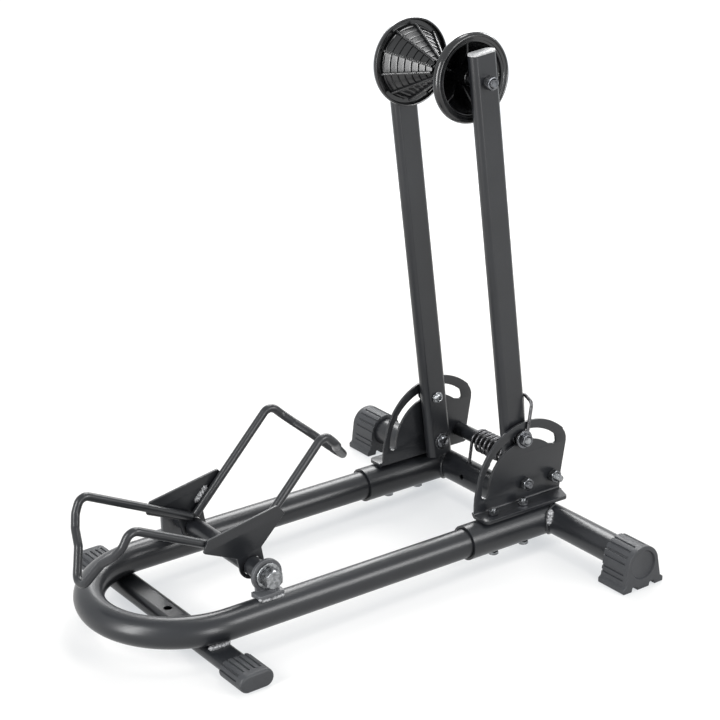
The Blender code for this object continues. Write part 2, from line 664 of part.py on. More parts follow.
def make_spring_shaft(frame):
    """A rod between the plates with a nut outside each, and the tube that the spring sits on."""
    place = (0.0, SHAFT_Y, SHAFT_Z)
    end = SHAFT_END_X
    profile = [(0.0, end), (M8_RADIUS - 0.0006, end), (M8_RADIUS, end - 0.0008),
               (M8_RADIUS, -end + 0.0008), (M8_RADIUS - 0.0006, -end), (0.0, -end)]
    turned_part("spring_shaft", profile, "black_oxide", frame, place, "X", 1, 14, False)
    ring("spring_shaft_tube", SPACER_RADIUS, M8_RADIUS + DRILL_PLAY, -PLATE_INNER_X + GAP,
         PLATE_INNER_X - GAP, "black_oxide", frame, place, "X", 1, 16)
    low = PLATE_OUTER_X + GAP
    for side, word in ((1, "right"), (-1, "left")):
        make_nut(f"{word}_shaft_nut", side, low, low + 0.0068, 0.013, M8_RADIUS + DRILL_PLAY,
                 "black_oxide", frame, SHAFT_Y, SHAFT_Z, 25)


def coil_point(angle, x):
    """A point of the coil, in the frame."""
    turn = math.radians(angle)
    centre_z = SHAFT_Z - COIL_DROP
    return Vector((x, SHAFT_Y + COIL_RADIUS * math.cos(turn), centre_z + COIL_RADIUS * math.sin(turn)))


def spring_lower_leg():
    """The straight leg from its end inside the rear tube up to the coil."""
    top = coil_point(COIL_START_ANGLE, COIL_START_X)
    turn = math.radians(COIL_START_ANGLE)
    down = Vector((0.0, -math.sin(turn), math.cos(turn)))
    return [top + down * LOWER_LEG_LENGTH, top]


def spring_path(arms):
    """Lower leg, coil, long leg up behind the arm and over the plate, and eye on the bolt."""
    path = spring_lower_leg()[:1]
    count = round(COIL_TURN * POINTS_PER_TURN / 360)
    for index in range(count + 1):
        share = index / count
        x = COIL_START_X + COIL_PITCH * COIL_TURN / 360 * share
        path.append(coil_point(COIL_START_ANGLE - COIL_TURN * share, x))
    to_frame = Matrix.Translation((0.0, PIVOT_Y, PIVOT_Z)) @ Matrix.Rotation(ARM_LEAN, 4, "X")
    eye = to_frame @ Vector((EYE_X, 0.0, LIMIT_Z))
    loop = []
    for y, z in arc((eye.y, eye.z), EYE_RADIUS, 12, 12 - EYE_TURN, 11):
        loop.append(Vector((EYE_X, y, z)))
    corners = [(*path[-1], 0, 0), (0.0690, -0.0160, 0.1405, 0.0060, 5),
               (EYE_X, -0.0174, 0.1340, 0.006, 6), (*loop[0], 0, 0)]
    path.extend(bent_path(corners)[1:-1])
    return path + loop


def least_gap(path):
    """The smallest space between stretches of the wire more than half a turn apart."""
    fine = []
    for first, second in zip(path, path[1:]):
        for step in range(4):
            fine.append(first.lerp(second, step / 4))
    walked = [0.0]
    for first, second in zip(fine, fine[1:]):
        walked.append(walked[-1] + (second - first).length)
    least = math.inf
    for index, place in enumerate(fine):
        for other in range(index + 1, len(fine)):
            if walked[other] - walked[index] > 2.6 * COIL_RADIUS:
                least = min(least, (fine[other] - place).length)
    return least - 2 * WIRE_RADIUS


def make_spring(frame, arms):
    """A torsion spring of one unbroken wire."""
    path = spring_path(arms)
    mesh = rod_mesh("torsion_spring", path, WIRE_RADIUS, 1)
    add_part("torsion_spring", mesh, "spring_steel", frame)
    print(f"torsion_spring: least gap to itself {1000 * least_gap(path):.2f} mm")


def make_roller(arms, side, word):
    """A cone roller: stepped bands and ribs on the cone, and a ribbed dish with a hub behind."""
    name = f"{word}_roller"
    slope = (CONE_BASE_RADIUS - CONE_TIP_RADIUS) / (CONE_BASE_X - CONE_TIP_X)
    profile = [(CONE_RIM_RADIUS - 0.0012, CONE_LIP_X), (CONE_RIM_RADIUS, CONE_LIP_X - 0.0012),
               (CONE_RIM_RADIUS, CONE_RIM_X + 0.0005), (CONE_RIM_RADIUS - 0.0008, CONE_RIM_X - 0.001),
               (CONE_RIM_RADIUS - 0.0022, CONE_RIM_X - 0.001), (CONE_RIM_RADIUS - 0.003, CONE_RIM_X),
               (CONE_BASE_RADIUS - CONE_STEP_DROP, CONE_RIM_X)]
    for step in range(CONE_STEPS, 0, -1):
        x = CONE_TIP_X + (CONE_BASE_X - CONE_TIP_X) * step / CONE_STEPS
        lower_x = CONE_TIP_X + (CONE_BASE_X - CONE_TIP_X) * (step - 1) / CONE_STEPS
        radius = CONE_TIP_RADIUS + slope * (x - CONE_TIP_X)
        lower_radius = CONE_TIP_RADIUS + slope * (lower_x - CONE_TIP_X)
        profile += [(radius - CONE_STEP_DROP, x), (lower_radius, lower_x)]
    floor_radius = CONE_TIP_RADIUS + slope * (DISH_FLOOR_X - CONE_TIP_X) - CONE_SHELL
    dish_radius = CONE_TIP_RADIUS + slope * (CONE_RIM_X - CONE_TIP_X) - CONE_SHELL
    profile += [(HUB_BORE, CONE_TIP_X), (HUB_BORE, HUB_END_X), (HUB_RADIUS, HUB_END_X),
                (HUB_RADIUS, DISH_FLOOR_X), (floor_radius, DISH_FLOOR_X),
                (dish_radius, CONE_RIM_X), (CONE_RIM_RADIUS - 0.0035, CONE_RIM_X + 0.0022),
                (CONE_RIM_RADIUS - 0.0026, CONE_LIP_X)]
    place = (0.0, 0.0, AXLE_Z)
    roller = turned_part(name, profile, "gloss_plastic", arms, place, "X", side, 22)
    rib = [(CONE_TIP_X + 0.001, CONE_TIP_RADIUS - 0.0012), (CONE_RIM_X + 0.0006, 0.0365),
           (CONE_RIM_X + 0.0006, CONE_BASE_RADIUS + CONE_RIB_HEIGHT + 0.0018),
           (CONE_TIP_X + 0.001, CONE_TIP_RADIUS + CONE_RIB_HEIGHT)]
    mesh = flat_mesh(f"{name}_ribs", [[(side * x, y) for x, y in rib]], -CONE_RIB_WIDTH / 2,
                     CONE_RIB_WIDTH / 2, "Z")
    turned_copies(mesh, CONE_RIBS, CONE_RIB_START)
    boolean(roller, add_part(f"{name}_ribs", mesh, "gloss_plastic", arms, place), "UNION")
    web = [(DISH_FLOOR_X - 0.001, HUB_RADIUS - 0.0015), (0.030, HUB_RADIUS - 0.0015),
           (CONE_RIM_X + 0.0003, dish_radius - 0.004), (CONE_RIM_X - 0.0012, dish_radius + 0.001),
           (DISH_FLOOR_X - 0.001, floor_radius + 0.001)]
    mesh = flat_mesh(f"{name}_webs", [[(side * x, y) for x, y in web]], -0.0009, 0.0009, "Z")
    turned_copies(mesh, DISH_RIBS, DISH_RIB_START)
    boolean(roller, add_part(f"{name}_webs", mesh, "gloss_plastic", arms, place), "UNION")
    low = HUB_END_X + GAP
    ring(f"{word}_roller_spacer", 0.0065, M8_RADIUS + DRILL_PLAY, low, ARM_INNER_X - GAP,
         "black_oxide", arms, place, "X", side, 14)


def make_axle(arms):
    """The bolt through both arms and rollers: head on the left, nut on the right."""
    face = ARM_OUTER_X + GAP
    place = (0.0, 0.0, AXLE_Z)
    profile = [(0.0, face + 0.011), (M8_RADIUS - 0.0006, face + 0.011),
               (M8_RADIUS, face + 0.0102), (M8_RADIUS, -face - 0.001), (0.0, -face - 0.001)]
    axle = turned_part("axle_bolt", profile, "black_oxide", arms, place, "X", 1, 14, False)
    hexagon = arc((0.0, 0.0), 0.013 / math.sqrt(3), 12, 312, 5)
    head = flat_mesh("axle_bolt_head", [hexagon], -face - 0.0055, -face)
    boolean(axle, add_part("axle_bolt_head", head, "black_oxide", arms, place), "UNION")
    make_nut("axle_nut", 1, face, face + 0.0078, 0.013, M8_RADIUS + DRILL_PLAY, "black_oxide",
             arms, 0.0, AXLE_Z, 8)


def make_ear(frame, side, word):
    """A bracket on the U tube: a round-topped plate for the cradle's pivot and a saddle foot."""
    name = f"{word}_ear"
    base = 0.0112
    front = EAR_FRONT_Y[side]
    outline = [(front, base), (EAR_REAR_Y, base)]
    if side > 0:
        outline += arc((0.0, CRADLE_Z), EAR_RADIUS, -40, 218, 17)
    else:
        outline += arc((0.0, CRADLE_Z), EAR_RADIUS, -40, 112, 11)
        outline += arc((front + 0.007, CRADLE_Z + 0.005), 0.007, 110, 180, 4)
    hole = circle((0.0, CRADLE_Z), M12_RADIUS + DRILL_PLAY, 18)
    mesh = flat_mesh(name, [outline, hole], *on_side(side, EAR_INNER_X, EAR_OUTER_X))
    ear = add_part(name, mesh, "powder_coat", frame, (0.0, CRADLE_Y, 0.0))
    outer = side * EAR_FOOT_X
    inner = side * (EAR_INNER_X + 0.0006)
    lip = EAR_LIP_Y[side]
    rear = EAR_REAR_Y - 0.0002
    foot = rounded([(inner, lip, 0, 0), (outer, lip, 0.003, 3), (outer, rear, 0.003, 3),
                    (inner, rear, 0, 0)])
    foot = flat_mesh(f"{name}_foot", [foot], 0.0145, EAR_FOOT_Z, "Z")
    boolean(ear, add_part(f"{name}_foot", foot, "powder_coat", frame, (0.0, CRADLE_Y, 0.0)), "UNION")
    drill(ear, f"{name}_saddle", TUBE_RADIUS + 0.0005, -0.03, 0.03, frame,
          (side * LEG_X, CRADLE_Y, 0.0), "Y", TUBE_SIDES, 0.0)


def make_ear_bolt(frame, side, word):
    """A large hexagon-head bolt and washer on which the cradle's pivot tube turns."""
    low = EAR_OUTER_X + GAP
    ring(f"{word}_ear_washer", 0.0138, M12_RADIUS + DRILL_PLAY, low, low + 0.0025, "black_oxide",
         frame, (0.0, CRADLE_Y, CRADLE_Z), "X", side, 22)
    low = low + 0.0025 + GAP
    name = f"{word}_ear_bolt"
    hexagon = arc((0.0, 0.0), 0.019 / math.sqrt(3), 90, 390, 5)
    head = flat_mesh(name, [hexagon], *on_side(side, low, low + 0.0105))
    bolt = add_part(name, head, "black_oxide", frame, (0.0, CRADLE_Y, CRADLE_Z))
    start, end = on_side(side, 0.060, low + 0.002)
    profile = [(0.0, end), (M12_RADIUS, end), (M12_RADIUS, start), (0.0, start)]
    shank = turned_part(f"{name}_shank", profile, "black_oxide", frame,
                        (0.0, CRADLE_Y, CRADLE_Z), "X", 1, 18, False)
    boolean(bolt, shank, "UNION")


def make_cradle_plate(cradle, side, word):
    """A fan-shaped plate: a wing along each hoop's wire and a lobe round the pivot tube."""
    name = f"{word}_cradle_plate"
    wing = [(0.0418, 0.0500, 0.0015, 2), (-0.0418, 0.0500, 0.0015, 2),
            (-0.0490, 0.0383, 0.002, 3), (-0.0146, 0.0148, 0.0015, 2)]
    lobe = [(y, z, 0, 0) for y, z in arc((0.0, 0.0), CRADLE_LOBE_RADIUS, 185.3, 354.7, 14)]
    outline = rounded(wing + lobe + [(0.0146, 0.0148, 0.0015, 2), (0.0490, 0.0383, 0.002, 3)])
    hole = circle((0.0, 0.0), CRADLE_TUBE_RADIUS + DRILL_PLAY, 20)
    mesh = flat_mesh(name, [outline, hole], *on_side(side, *CRADLE_PLATE_X))
    add_part(name, mesh, "powder_coat", cradle)


def make_hoop(cradle, end, word):
    """A wire hoop: two arms rising from the pivot, joined by a dipped cross piece.

    The cross piece is square to the arms. Each of its corners is (x, height above the line
    through the pivot along the arms, bend radius, steps).
    """
    along = Vector((0.0, end * math.cos(HOOP_ANGLE), math.sin(HOOP_ANGLE)))
    above = Vector((0.0, -end * math.sin(HOOP_ANGLE), math.cos(HOOP_ANGLE)))
    cross = [(HOOP_X, HOOP_OFFSET, 0.010, 5), (0.049, -0.008, 0.014, 2),
             (0.0405, -0.021, 0.014, 2), (0.0245, -0.034, 0.012, 2)]
    low = along * HOOP_START + above * HOOP_OFFSET
    half = []
    for x, height, radius, steps in cross:
        half.append((x, *(along * HOOP_REACH + above * height)[1:], radius, steps))
    bottom = (0.0, *(along * HOOP_REACH + above * -0.0755)[1:], 0.012, 6)
    mirrored = [(-corner[0], *corner[1:]) for corner in reversed(half)]
    corners = [(HOOP_X, *low[1:], 0, 0)] + half + [bottom] + mirrored + [(-HOOP_X, *low[1:], 0, 0)]
    name = f"{word}_hoop"
    add_part(name, rod_mesh(name, bent_path(corners), ROD_RADIUS, 2), "powder_coat", cradle)


def frame_matrix():
    """The frame's placement in the world."""
    place = Matrix.Translation((0.0, REAR_TUBE_Y, FRAME_HEIGHT))
    return place @ Matrix.Rotation(FRAME_TILT, 4, "X")


def main():
    clear_scene()
    make_material("powder_coat", (0.035, 0.036, 0.039), 0.42, 0.0)
    make_material("moulded_plastic", (0.05, 0.052, 0.056), 0.55, 0.0)
    make_material("gloss_plastic", (0.03, 0.031, 0.033), 0.28, 0.0)
    make_material("bright_plastic", (0.32, 0.32, 0.33), 0.4, 0.0)
    make_material("zinc_plate", (0.6, 0.61, 0.62), 0.28, 1.0)
    make_material("black_oxide", (0.06, 0.06, 0.062), 0.35, 1.0)
    make_material("spring_steel", (0.1, 0.1, 0.105), 0.32, 1.0)
    stand = make_empty("stand", None, (0.0, 0.0, 0.0), 0.0)
    frame = make_empty("frame_axis", stand, (0.0, REAR_TUBE_Y, FRAME_HEIGHT), FRAME_TILT)
    arms = make_empty("arm_axis", frame, (0.0, PIVOT_Y, PIVOT_Z), ARM_LEAN)
    cradle = make_empty("cradle_axis", frame, (0.0, CRADLE_Y, CRADLE_Z), CRADLE_TILT)
    make_base_tube(frame)
    make_rear_tube(stand)
    make_foot_bar(stand)
    for side, word in ((1, "right"), (-1, "left")):
        make_sleeve(stand, frame, side, word)
        make_rear_foot(stand, side, word)
        make_front_cap(stand, side, word)
        make_quadrant_plate(frame, side, word)
        for index in range(len(FRAME_BOLT_Y)):
            make_frame_bolt(frame, side, word, index)
        make_arm(arms, side, word)
        make_arm_cap(arms, side, word)
        make_pivot(frame, arms, side, word)
        make_limit(arms, side, word)
        make_roller(arms, side, word)
        make_ear(frame, side, word)
        make_ear_bolt(frame, side, word)
        make_cradle_plate(cradle, side, word)
    make_spring_shaft(frame)
    make_spring(frame, arms)
    make_axle(arms)
    make_hoop(cradle, -1, "front")
    make_hoop(cradle, 1, "rear")
    ring("cradle_pivot_tube", CRADLE_TUBE_RADIUS, CRADLE_TUBE_BORE, -CRADLE_TUBE_END_X,
         CRADLE_TUBE_END_X, "powder_coat", cradle, (0.0, 0.0, 0.0), "X", 1, 20)


main()
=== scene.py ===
import math

import bmesh
import bpy
import numpy as np
from mathutils import Matrix, Vector


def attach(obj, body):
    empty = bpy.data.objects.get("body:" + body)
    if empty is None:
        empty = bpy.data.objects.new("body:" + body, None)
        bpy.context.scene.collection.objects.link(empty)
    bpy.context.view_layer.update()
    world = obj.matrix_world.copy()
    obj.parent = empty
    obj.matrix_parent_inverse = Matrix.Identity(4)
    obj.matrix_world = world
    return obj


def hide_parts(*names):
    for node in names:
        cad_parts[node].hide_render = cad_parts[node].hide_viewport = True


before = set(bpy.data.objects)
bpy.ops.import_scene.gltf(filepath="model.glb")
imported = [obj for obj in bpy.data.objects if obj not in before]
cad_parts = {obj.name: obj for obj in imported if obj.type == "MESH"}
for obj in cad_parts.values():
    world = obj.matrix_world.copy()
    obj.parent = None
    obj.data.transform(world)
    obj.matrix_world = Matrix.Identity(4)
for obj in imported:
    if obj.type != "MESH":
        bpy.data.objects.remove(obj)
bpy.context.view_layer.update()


# The picture: a camera a little to the right and above, a pale floor, and soft studio light
# from softboxes all round, of which the ones in front and at the right stand on the floor.
# The background is white and the floor keeps the stand's soft shadow.
IMAGE_SIZE = 720
FOCAL_PIXELS = 1965.2
CAMERA_PLACE = (1.58461, -1.01589, 0.96937)
CAMERA_TURN = math.radians(55.61792)
CAMERA_HEIGHT = math.radians(21.18035)
CAMERA_ROLL = math.radians(-2.17119)


class Wire:
    """A socket in a material's nodes; arithmetic written with it adds Math nodes."""

    def __init__(self, socket):
        self.socket = socket

    def node(self, kind, settings=None, inputs=None, output=0):
        """Any other node: its settings come first, then the values or links of its sockets."""
        tree = self.socket.id_data
        new = tree.nodes.new(kind)
        for name, value in (settings or {}).items():
            setattr(new, name, value)
        for name, value in (inputs or {}).items():
            if isinstance(value, Wire):
                tree.links.new(value.socket, new.inputs[name])
            else:
                new.inputs[name].default_value = value
        return Wire(new.outputs[output])

    def math(self, operation, *others):
        """A Math node of this and the other wires or numbers."""
        return self.node("ShaderNodeMath", {"operation": operation},
                         dict(enumerate((self,) + others)))

    def __add__(self, other):
        return self.math("ADD", other)

    def __mul__(self, other):
        return self.math("MULTIPLY", other)

    def __sub__(self, other):
        return self.math("SUBTRACT", other)

    def __rsub__(self, other):
        return self.node("ShaderNodeMath", {"operation": "SUBTRACT"}, {0: other, 1: self})

    __radd__ = __add__
    __rmul__ = __mul__

    def noise(self, scale, detail=2.0):
        """Noise of about 0.5, its grain a length of 1 / scale metres."""
        return self.node("ShaderNodeTexNoise", {},
                         {"Vector": self, "Scale": scale, "Detail": detail})

    def between(self, low, high):
        """0 below low, 1 above high, and a smooth step from one to the other."""
        return self.node("ShaderNodeMapRange", {"interpolation_type": "SMOOTHSTEP"},
                         {"Value": self, "From Min": low, "From Max": high})

    def tint(self, dark, light):
        """A colour from dark where this is 0 to light where this is 1."""
        return self.node("ShaderNodeMix", {"data_type": "RGBA"},
                         {0: self, 6: (*dark, 1.0), 7: (*light, 1.0)}, 2)

    def bump(self, height, strength=1.0):
        """A normal from this as a height, in metres at 1."""
        return self.node("ShaderNodeBump", {},
                         {"Height": self, "Distance": height, "Strength": strength})


def new_finish(name, **constants):
    """A material of one Principled shader; gives it, its shader and its object coordinates.

    An underscore in a constant's name stands for a space.
    """
    material = bpy.data.materials.new(name)
    material.use_nodes = True
    shader = material.node_tree.nodes["Principled BSDF"]
    for socket, value in constants.items():
        shader.inputs[socket.replace("_", " ")].default_value = value
    place = material.node_tree.nodes.new("ShaderNodeTexCoord")
    return material, shader, Wire(place.outputs["Object"])


def feed(shader, **wires):
    """Link a wire to each named socket of the shader, named in the same way."""
    for name, wire in wires.items():
        wire.socket.id_data.links.new(wire.socket, shader.inputs[name.replace("_", " ")])


def add_object(name, data):
    """A new object that shows some data, linked to the scene."""
    thing = bpy.data.objects.new(name, data)
    bpy.context.scene.collection.objects.link(thing)
    return thing


right = np.array((math.cos(CAMERA_TURN), math.sin(CAMERA_TURN), 0.0))
back = np.array((math.sin(CAMERA_TURN) * math.cos(CAMERA_HEIGHT),
                 -math.cos(CAMERA_TURN) * math.cos(CAMERA_HEIGHT), math.sin(CAMERA_HEIGHT)))
up = np.cross(back, right)
tilted_right = right * math.cos(CAMERA_ROLL) + up * math.sin(CAMERA_ROLL)
tilted_up = -right * math.sin(CAMERA_ROLL) + up * math.cos(CAMERA_ROLL)
camera = add_object("camera", bpy.data.cameras.new("camera"))
camera.matrix_world = Matrix.Translation(CAMERA_PLACE) @ Matrix(
    np.column_stack([tilted_right, tilted_up, back]).tolist()).to_4x4()
camera.data.sensor_width = 36.0
camera.data.lens = 36.0 * FOCAL_PIXELS / IMAGE_SIZE
bpy.context.scene.camera = camera
bpy.context.scene.view_settings.view_transform = "Standard"


def add_lamp(name, place, aim, width, depth, radiance):
    """A soft rectangular lamp of one radiance over its face, aimed at a point."""
    lamp = bpy.data.lights.new(name, "AREA")
    lamp.shape = "RECTANGLE"
    lamp.size = width
    lamp.size_y = depth
    lamp.energy = radiance * math.pi * width * depth
    away = Vector(place) - Vector(aim)
    turn = away.to_track_quat("Z", "Y").to_matrix().to_4x4()
    add_object(name, lamp).matrix_world = Matrix.Translation(place) @ turn


add_lamp("left_softbox", (-0.95, 0.75, 1.05), (0.05, 0.0, 0.1), 0.8, 0.7, 10.0)
add_lamp("back_softbox", (-0.6, 1.75, 1.15), (0.0, 0.2, 0.4), 0.5, 0.5, 12.0)
add_lamp("top_softbox", (-0.1, 0.6, 1.85), (0.0, 0.1, 0.3), 0.45, 0.4, 12.0)
add_lamp("right_back_softbox", (1.55, 0.9, 0.9), (0.0, 0.0, 0.1), 0.75, 0.65, 11.0)
add_lamp("right_softbox", (2.1, -0.2, 0.48), (0.0, -0.1, 0.4), 0.35, 0.92, 15.0)
add_lamp("front_softbox", (0.15, -1.8, 0.93), (0.05, 0.0, 0.7), 0.5, 1.75, 16.0)

floor_mesh = bpy.data.meshes.new("floor")
floor_mesh.from_pydata([(-6, -6, 0), (6, -6, 0), (6, 6, 0), (-6, 6, 0)], [], [(0, 1, 2, 3)])
floor = add_object("floor", floor_mesh)
floor.location.z = -0.0002
floor_finish, shader, place = new_finish("white_floor", Roughness=0.9, Specular_IOR_Level=0.0,
                                         Emission_Strength=1.0)


def seen_directly(tree):
    """1 for camera, glossy and transmission rays, which show the white studio, and 0 for others."""
    path = tree.nodes.new("ShaderNodeLightPath")
    shown = Wire(path.outputs["Is Camera Ray"])
    for ray in ("Is Glossy Ray", "Is Transmission Ray"):
        shown = shown.math("MAXIMUM", Wire(path.outputs[ray]))
    return shown


away = place.node("ShaderNodeVectorMath", {"operation": "LENGTH"}, {0: place}, 1)
glow = seen_directly(floor_finish.node_tree) * (0.62 + 0.38 * away.between(0.5, 1.7))
feed(shader, Base_Color=place.noise(3.0).tint((0.345, 0.328, 0.308), (0.355, 0.338, 0.318)),
     Emission_Color=glow.tint((0.0, 0.0, 0.0), (0.93, 0.965, 1.0)))
floor.data.materials.append(floor_finish)

world = bpy.data.worlds.new("studio")
bpy.context.scene.world = world
world.use_nodes = True
sky = world.node_tree.nodes["Background"]
strength = seen_directly(world.node_tree) * 0.6 + 0.4
world.node_tree.links.new(strength.socket, sky.inputs["Strength"])
sky.inputs["Color"].default_value = (0.97, 0.985, 1.0, 1.0)


# The base tube: one steel tube bent to a U, coated with black powder that lies in a fine
# orange peel. It slopes down to the front a little, and the frame bolts pass through its ends.
REAR_Y = 0.2446
REAR_Z = 0.0268
FRAME_Z = 0.0277
FRAME = Matrix.Translation((0.0, REAR_Y, FRAME_Z)) @ Matrix.Rotation(math.radians(-0.8), 4, "X")
TUBE = 0.016
WALL = 0.0015
LEG_X = 0.0945
LEG_REAR = -0.021
BEND_Y = -0.407
BOLT_X = 0.0962
BOLTS_Y = (-0.0776, -0.0362)
BOLT_HOLE = 0.0034
TURN_Z_TO_X = Matrix(((0, 0, 1, 0), (1, 0, 0, 0), (0, 1, 0, 0), (0, 0, 0, 1)))


def skin(rows, looped=False):
    """A mesh over rings of points: quads join rows[i, j] to its neighbours along and around.

    The first and last rings are filled, or joined to each other when the shape is looped.
    """
    rows = np.asarray(rows, float)
    count, around = rows.shape[:2]
    here = np.arange(count if looped else count - 1)[:, None] * around + np.arange(around)
    ahead = (here + around) % (count * around)
    faces = np.stack([here, np.roll(here, -1, 1), np.roll(ahead, -1, 1), ahead], -1)
    faces = faces.reshape(-1, 4).tolist()
    if not looped:
        faces.append(list(range(around))[::-1])
        faces.append(list(range((count - 1) * around, count * around)))
    mesh = bpy.data.meshes.new("shell")
    mesh.from_pydata(rows.reshape(-1, 3), [], faces)
    return mesh


def circle(radius, count, start=0.0, end=360.0):
    """Points (a, b) = radius * (cos, sin) at even angles; a whole turn leaves out its end."""
    whole = abs(end - start) >= 360.0
    angle = np.radians(np.linspace(start, end, count, endpoint=not whole))
    return radius * np.column_stack([np.cos(angle), np.sin(angle)])


def carried(path, profile, scale=None):
    """Rings of a profile carried along a path: point = place + scale * (a * side + b * up).

    Side is square to the path and turns from station to station only as the path bends.
    """
    path = np.asarray(path, float)
    ahead = np.gradient(path, axis=0)
    ahead /= np.linalg.norm(ahead, axis=1)[:, None]
    side = np.empty_like(path)
    last = np.cross(ahead[0], (0.0, 0.0, 1.0) if abs(ahead[0, 2]) < 0.9 else (1.0, 0.0, 0.0))
    for index, direction in enumerate(ahead):
        last = last - direction * last.dot(direction)
        last /= np.linalg.norm(last)
        side[index] = last
    up = np.cross(side, ahead)
    scale = np.ones(len(path)) if scale is None else scale
    a, b = np.asarray(profile, float).T[:, None, :, None] * scale[:, None, None]
    return path[:, None] + a * side[:, None] + b * up[:, None]


def tube(path, outer, inner):
    """An open tube: an outline carried along a path, and a smaller one carried back inside."""
    return skin(np.concatenate([carried(path, outer), carried(path, inner)[::-1]]), True)


def cut(mesh, *tools):
    """The mesh with the closed tools taken away from it, as one exact cut after another."""
    body = add_object("body", mesh)
    for tool in tools:
        cutter = body.modifiers.new("cut", "BOOLEAN")
        cutter.object = add_object("knife", tool)
        cutter.solver = "EXACT"
    graph = bpy.context.evaluated_depsgraph_get()
    result = bpy.data.meshes.new_from_object(body.evaluated_get(graph))
    for thing in [body] + [modifier.object for modifier in body.modifiers]:
        old = thing.data
        bpy.data.objects.remove(thing)
        bpy.data.meshes.remove(old)
    return result


def outward(mesh):
    """The closed mesh with its faces turned out, judged by the sign of its volume."""
    shape = bmesh.new()
    shape.from_mesh(mesh)
    if shape.calc_volume(signed=True) < 0:
        bmesh.ops.reverse_faces(shape, faces=shape.faces)
    shape.to_mesh(mesh)
    shape.free()
    return mesh


def finish_node(node, body, slot, finish, *shells, place=FRAME, sharp=32):
    """One piece of closed shells that takes a CAD node's place on its body."""
    whole = bmesh.new()
    for shell in shells:
        whole.from_mesh(outward(shell))
        bpy.data.meshes.remove(shell)
    mesh = bpy.data.meshes.new(f"{node}_finished")
    whole.to_mesh(mesh)
    whole.free()
    mesh.transform(place)
    mesh.shade_smooth()
    mesh.set_sharp_from_angle(angle=math.radians(sharp))
    mesh.materials.append(finish)
    piece = add_object(f"{node}_finished", mesh)
    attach(piece, body)
    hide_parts(node)


def peg(radius, low, high, centre, axis="Z", count=40):
    """A plain cylinder from low to high along an axis through the centre, to cut a hole with."""
    ring = circle(radius, count)
    rows = np.stack([np.column_stack([ring, np.full(count, height)]) for height in (low, high)])
    mesh = skin(rows)
    if axis == "X":
        mesh.transform(TURN_Z_TO_X)
    if axis == "Y":
        mesh.transform(Matrix.Rotation(math.radians(-90), 4, "X"))
    mesh.transform(Matrix.Translation(centre))
    return outward(mesh)


def coated(name, dark, light, roughness):
    """Powder coat: dark colour clouded a little, lighter on edges partly from wear and partly as a
    painted highlight, in a fine orange peel.
    """
    material, shader, place = new_finish(name, Specular_IOR_Level=0.45)
    cloud = place.noise(11.0, 3.0)
    grain = place.noise(2400.0, 2.0)
    normal = place.node("ShaderNodeNewGeometry", output=1)
    soft = place.node("ShaderNodeBevel", {"samples": 6}, {"Radius": 0.0010})
    edge = 1.0 - soft.node("ShaderNodeVectorMath", {"operation": "DOT_PRODUCT"},
                           {0: soft, 1: normal}, 1)
    # The edge mask lightens the coat's colour on edges: partly wear, partly a painted highlight.
    worn_and_highlight = edge.between(0.01, 0.14) * (0.35 + 0.65 * place.noise(260.0, 3.0).between(0.4, 0.62))
    tone = cloud.between(0.25, 0.75) * 0.35 + grain.between(0.3, 0.75) * 0.2 + worn_and_highlight * 1.6
    feed(shader, Base_Color=tone.tint(dark, light),
         Roughness=roughness - 0.05 + 0.10 * cloud + 0.04 * grain - 0.08 * worn_and_highlight,
         Normal=(place.noise(620.0, 3.0) + 0.35 * place.noise(1900.0, 1.0)).bump(0.00012, 0.5))
    return material


powder = coated("black_powder_coat", (0.0076, 0.0083, 0.0098), (0.023, 0.025, 0.029), 0.28)

leg = np.linspace((LEG_X, LEG_REAR, 0.0), (LEG_X, BEND_Y, 0.0), 130)[:-1]
bow = circle(LEG_X, 100, 0.0, 180.0)
bow = np.column_stack([bow[:, 0], BEND_Y - bow[:, 1], np.zeros(100)])
tube_path = np.concatenate([leg, bow, leg[::-1] * (-1, 1, 1)])
base = tube(tube_path, circle(TUBE, 80), circle(TUBE - WALL, 80))
base = cut(base, *[peg(BOLT_HOLE, -0.03, 0.03, (side * BOLT_X, y, 0.0), "Z", 28)
                   for side in (-1, 1) for y in BOLTS_Y])
finish_node("base_tube", "base", "powder_coat", powder, base)


# The rear cross tube: a straight steel tube that the sleeves' rear ends meet, coated with the
# rest, with a hole for the spring's lower leg and a vent hole.
TUBE_END_X = 0.2425
STAND = Matrix.Translation((0.0, REAR_Y, REAR_Z))

cross_path = np.linspace((-TUBE_END_X, 0.0, 0.0), (TUBE_END_X, 0.0, 0.0), 160)
cross = tube(cross_path, circle(TUBE, 72), circle(TUBE - WALL, 72))
spring_hole = peg(0.0027, -0.014, 0.014, (0.0, 0.0, 0.0))
spring_hole.transform(Matrix.Translation((-0.0423, -0.0018, 0.0118)) @ Matrix.Rotation(
    math.radians(-9.8), 4, "X"))
cross = cut(cross, spring_hole, peg(0.003, -0.03, -0.006, (-0.0386, 0.0, 0.003), "Y"))
finish_node("rear_tube", "base", "powder_coat", powder, cross, place=STAND)


# The rear feet: each a black moulding pushed over an end of the cross tube, with a band of
# grooves open at its inner end, a toe in front and behind, three pads below and a round dish
# outside.
FOOT_INNER = 0.208
FOOT_OUTER = 0.2477
FOOT_ARCH = 0.0206
GAP = 0.0003
SIDES = ((1, "right"), (-1, "left"))


def corner_arc(before, here, after, radius):
    """The arc that rounds a corner: its centre, first and last spoke, and half the inner angle.

    The centre is here + radius / sin(half) * the middle direction of the two sides.
    """
    first = (before - here) / np.linalg.norm(before - here)
    last = (after - here) / np.linalg.norm(after - here)
    half = math.acos(np.clip(first.dot(last), -1, 1)) / 2
    middle = (first + last) / np.linalg.norm(first + last)
    centre = here + middle * radius / math.sin(half)
    start = here + first * radius / math.tan(half) - centre
    end = here + last * radius / math.tan(half) - centre
    return centre, start, end, half


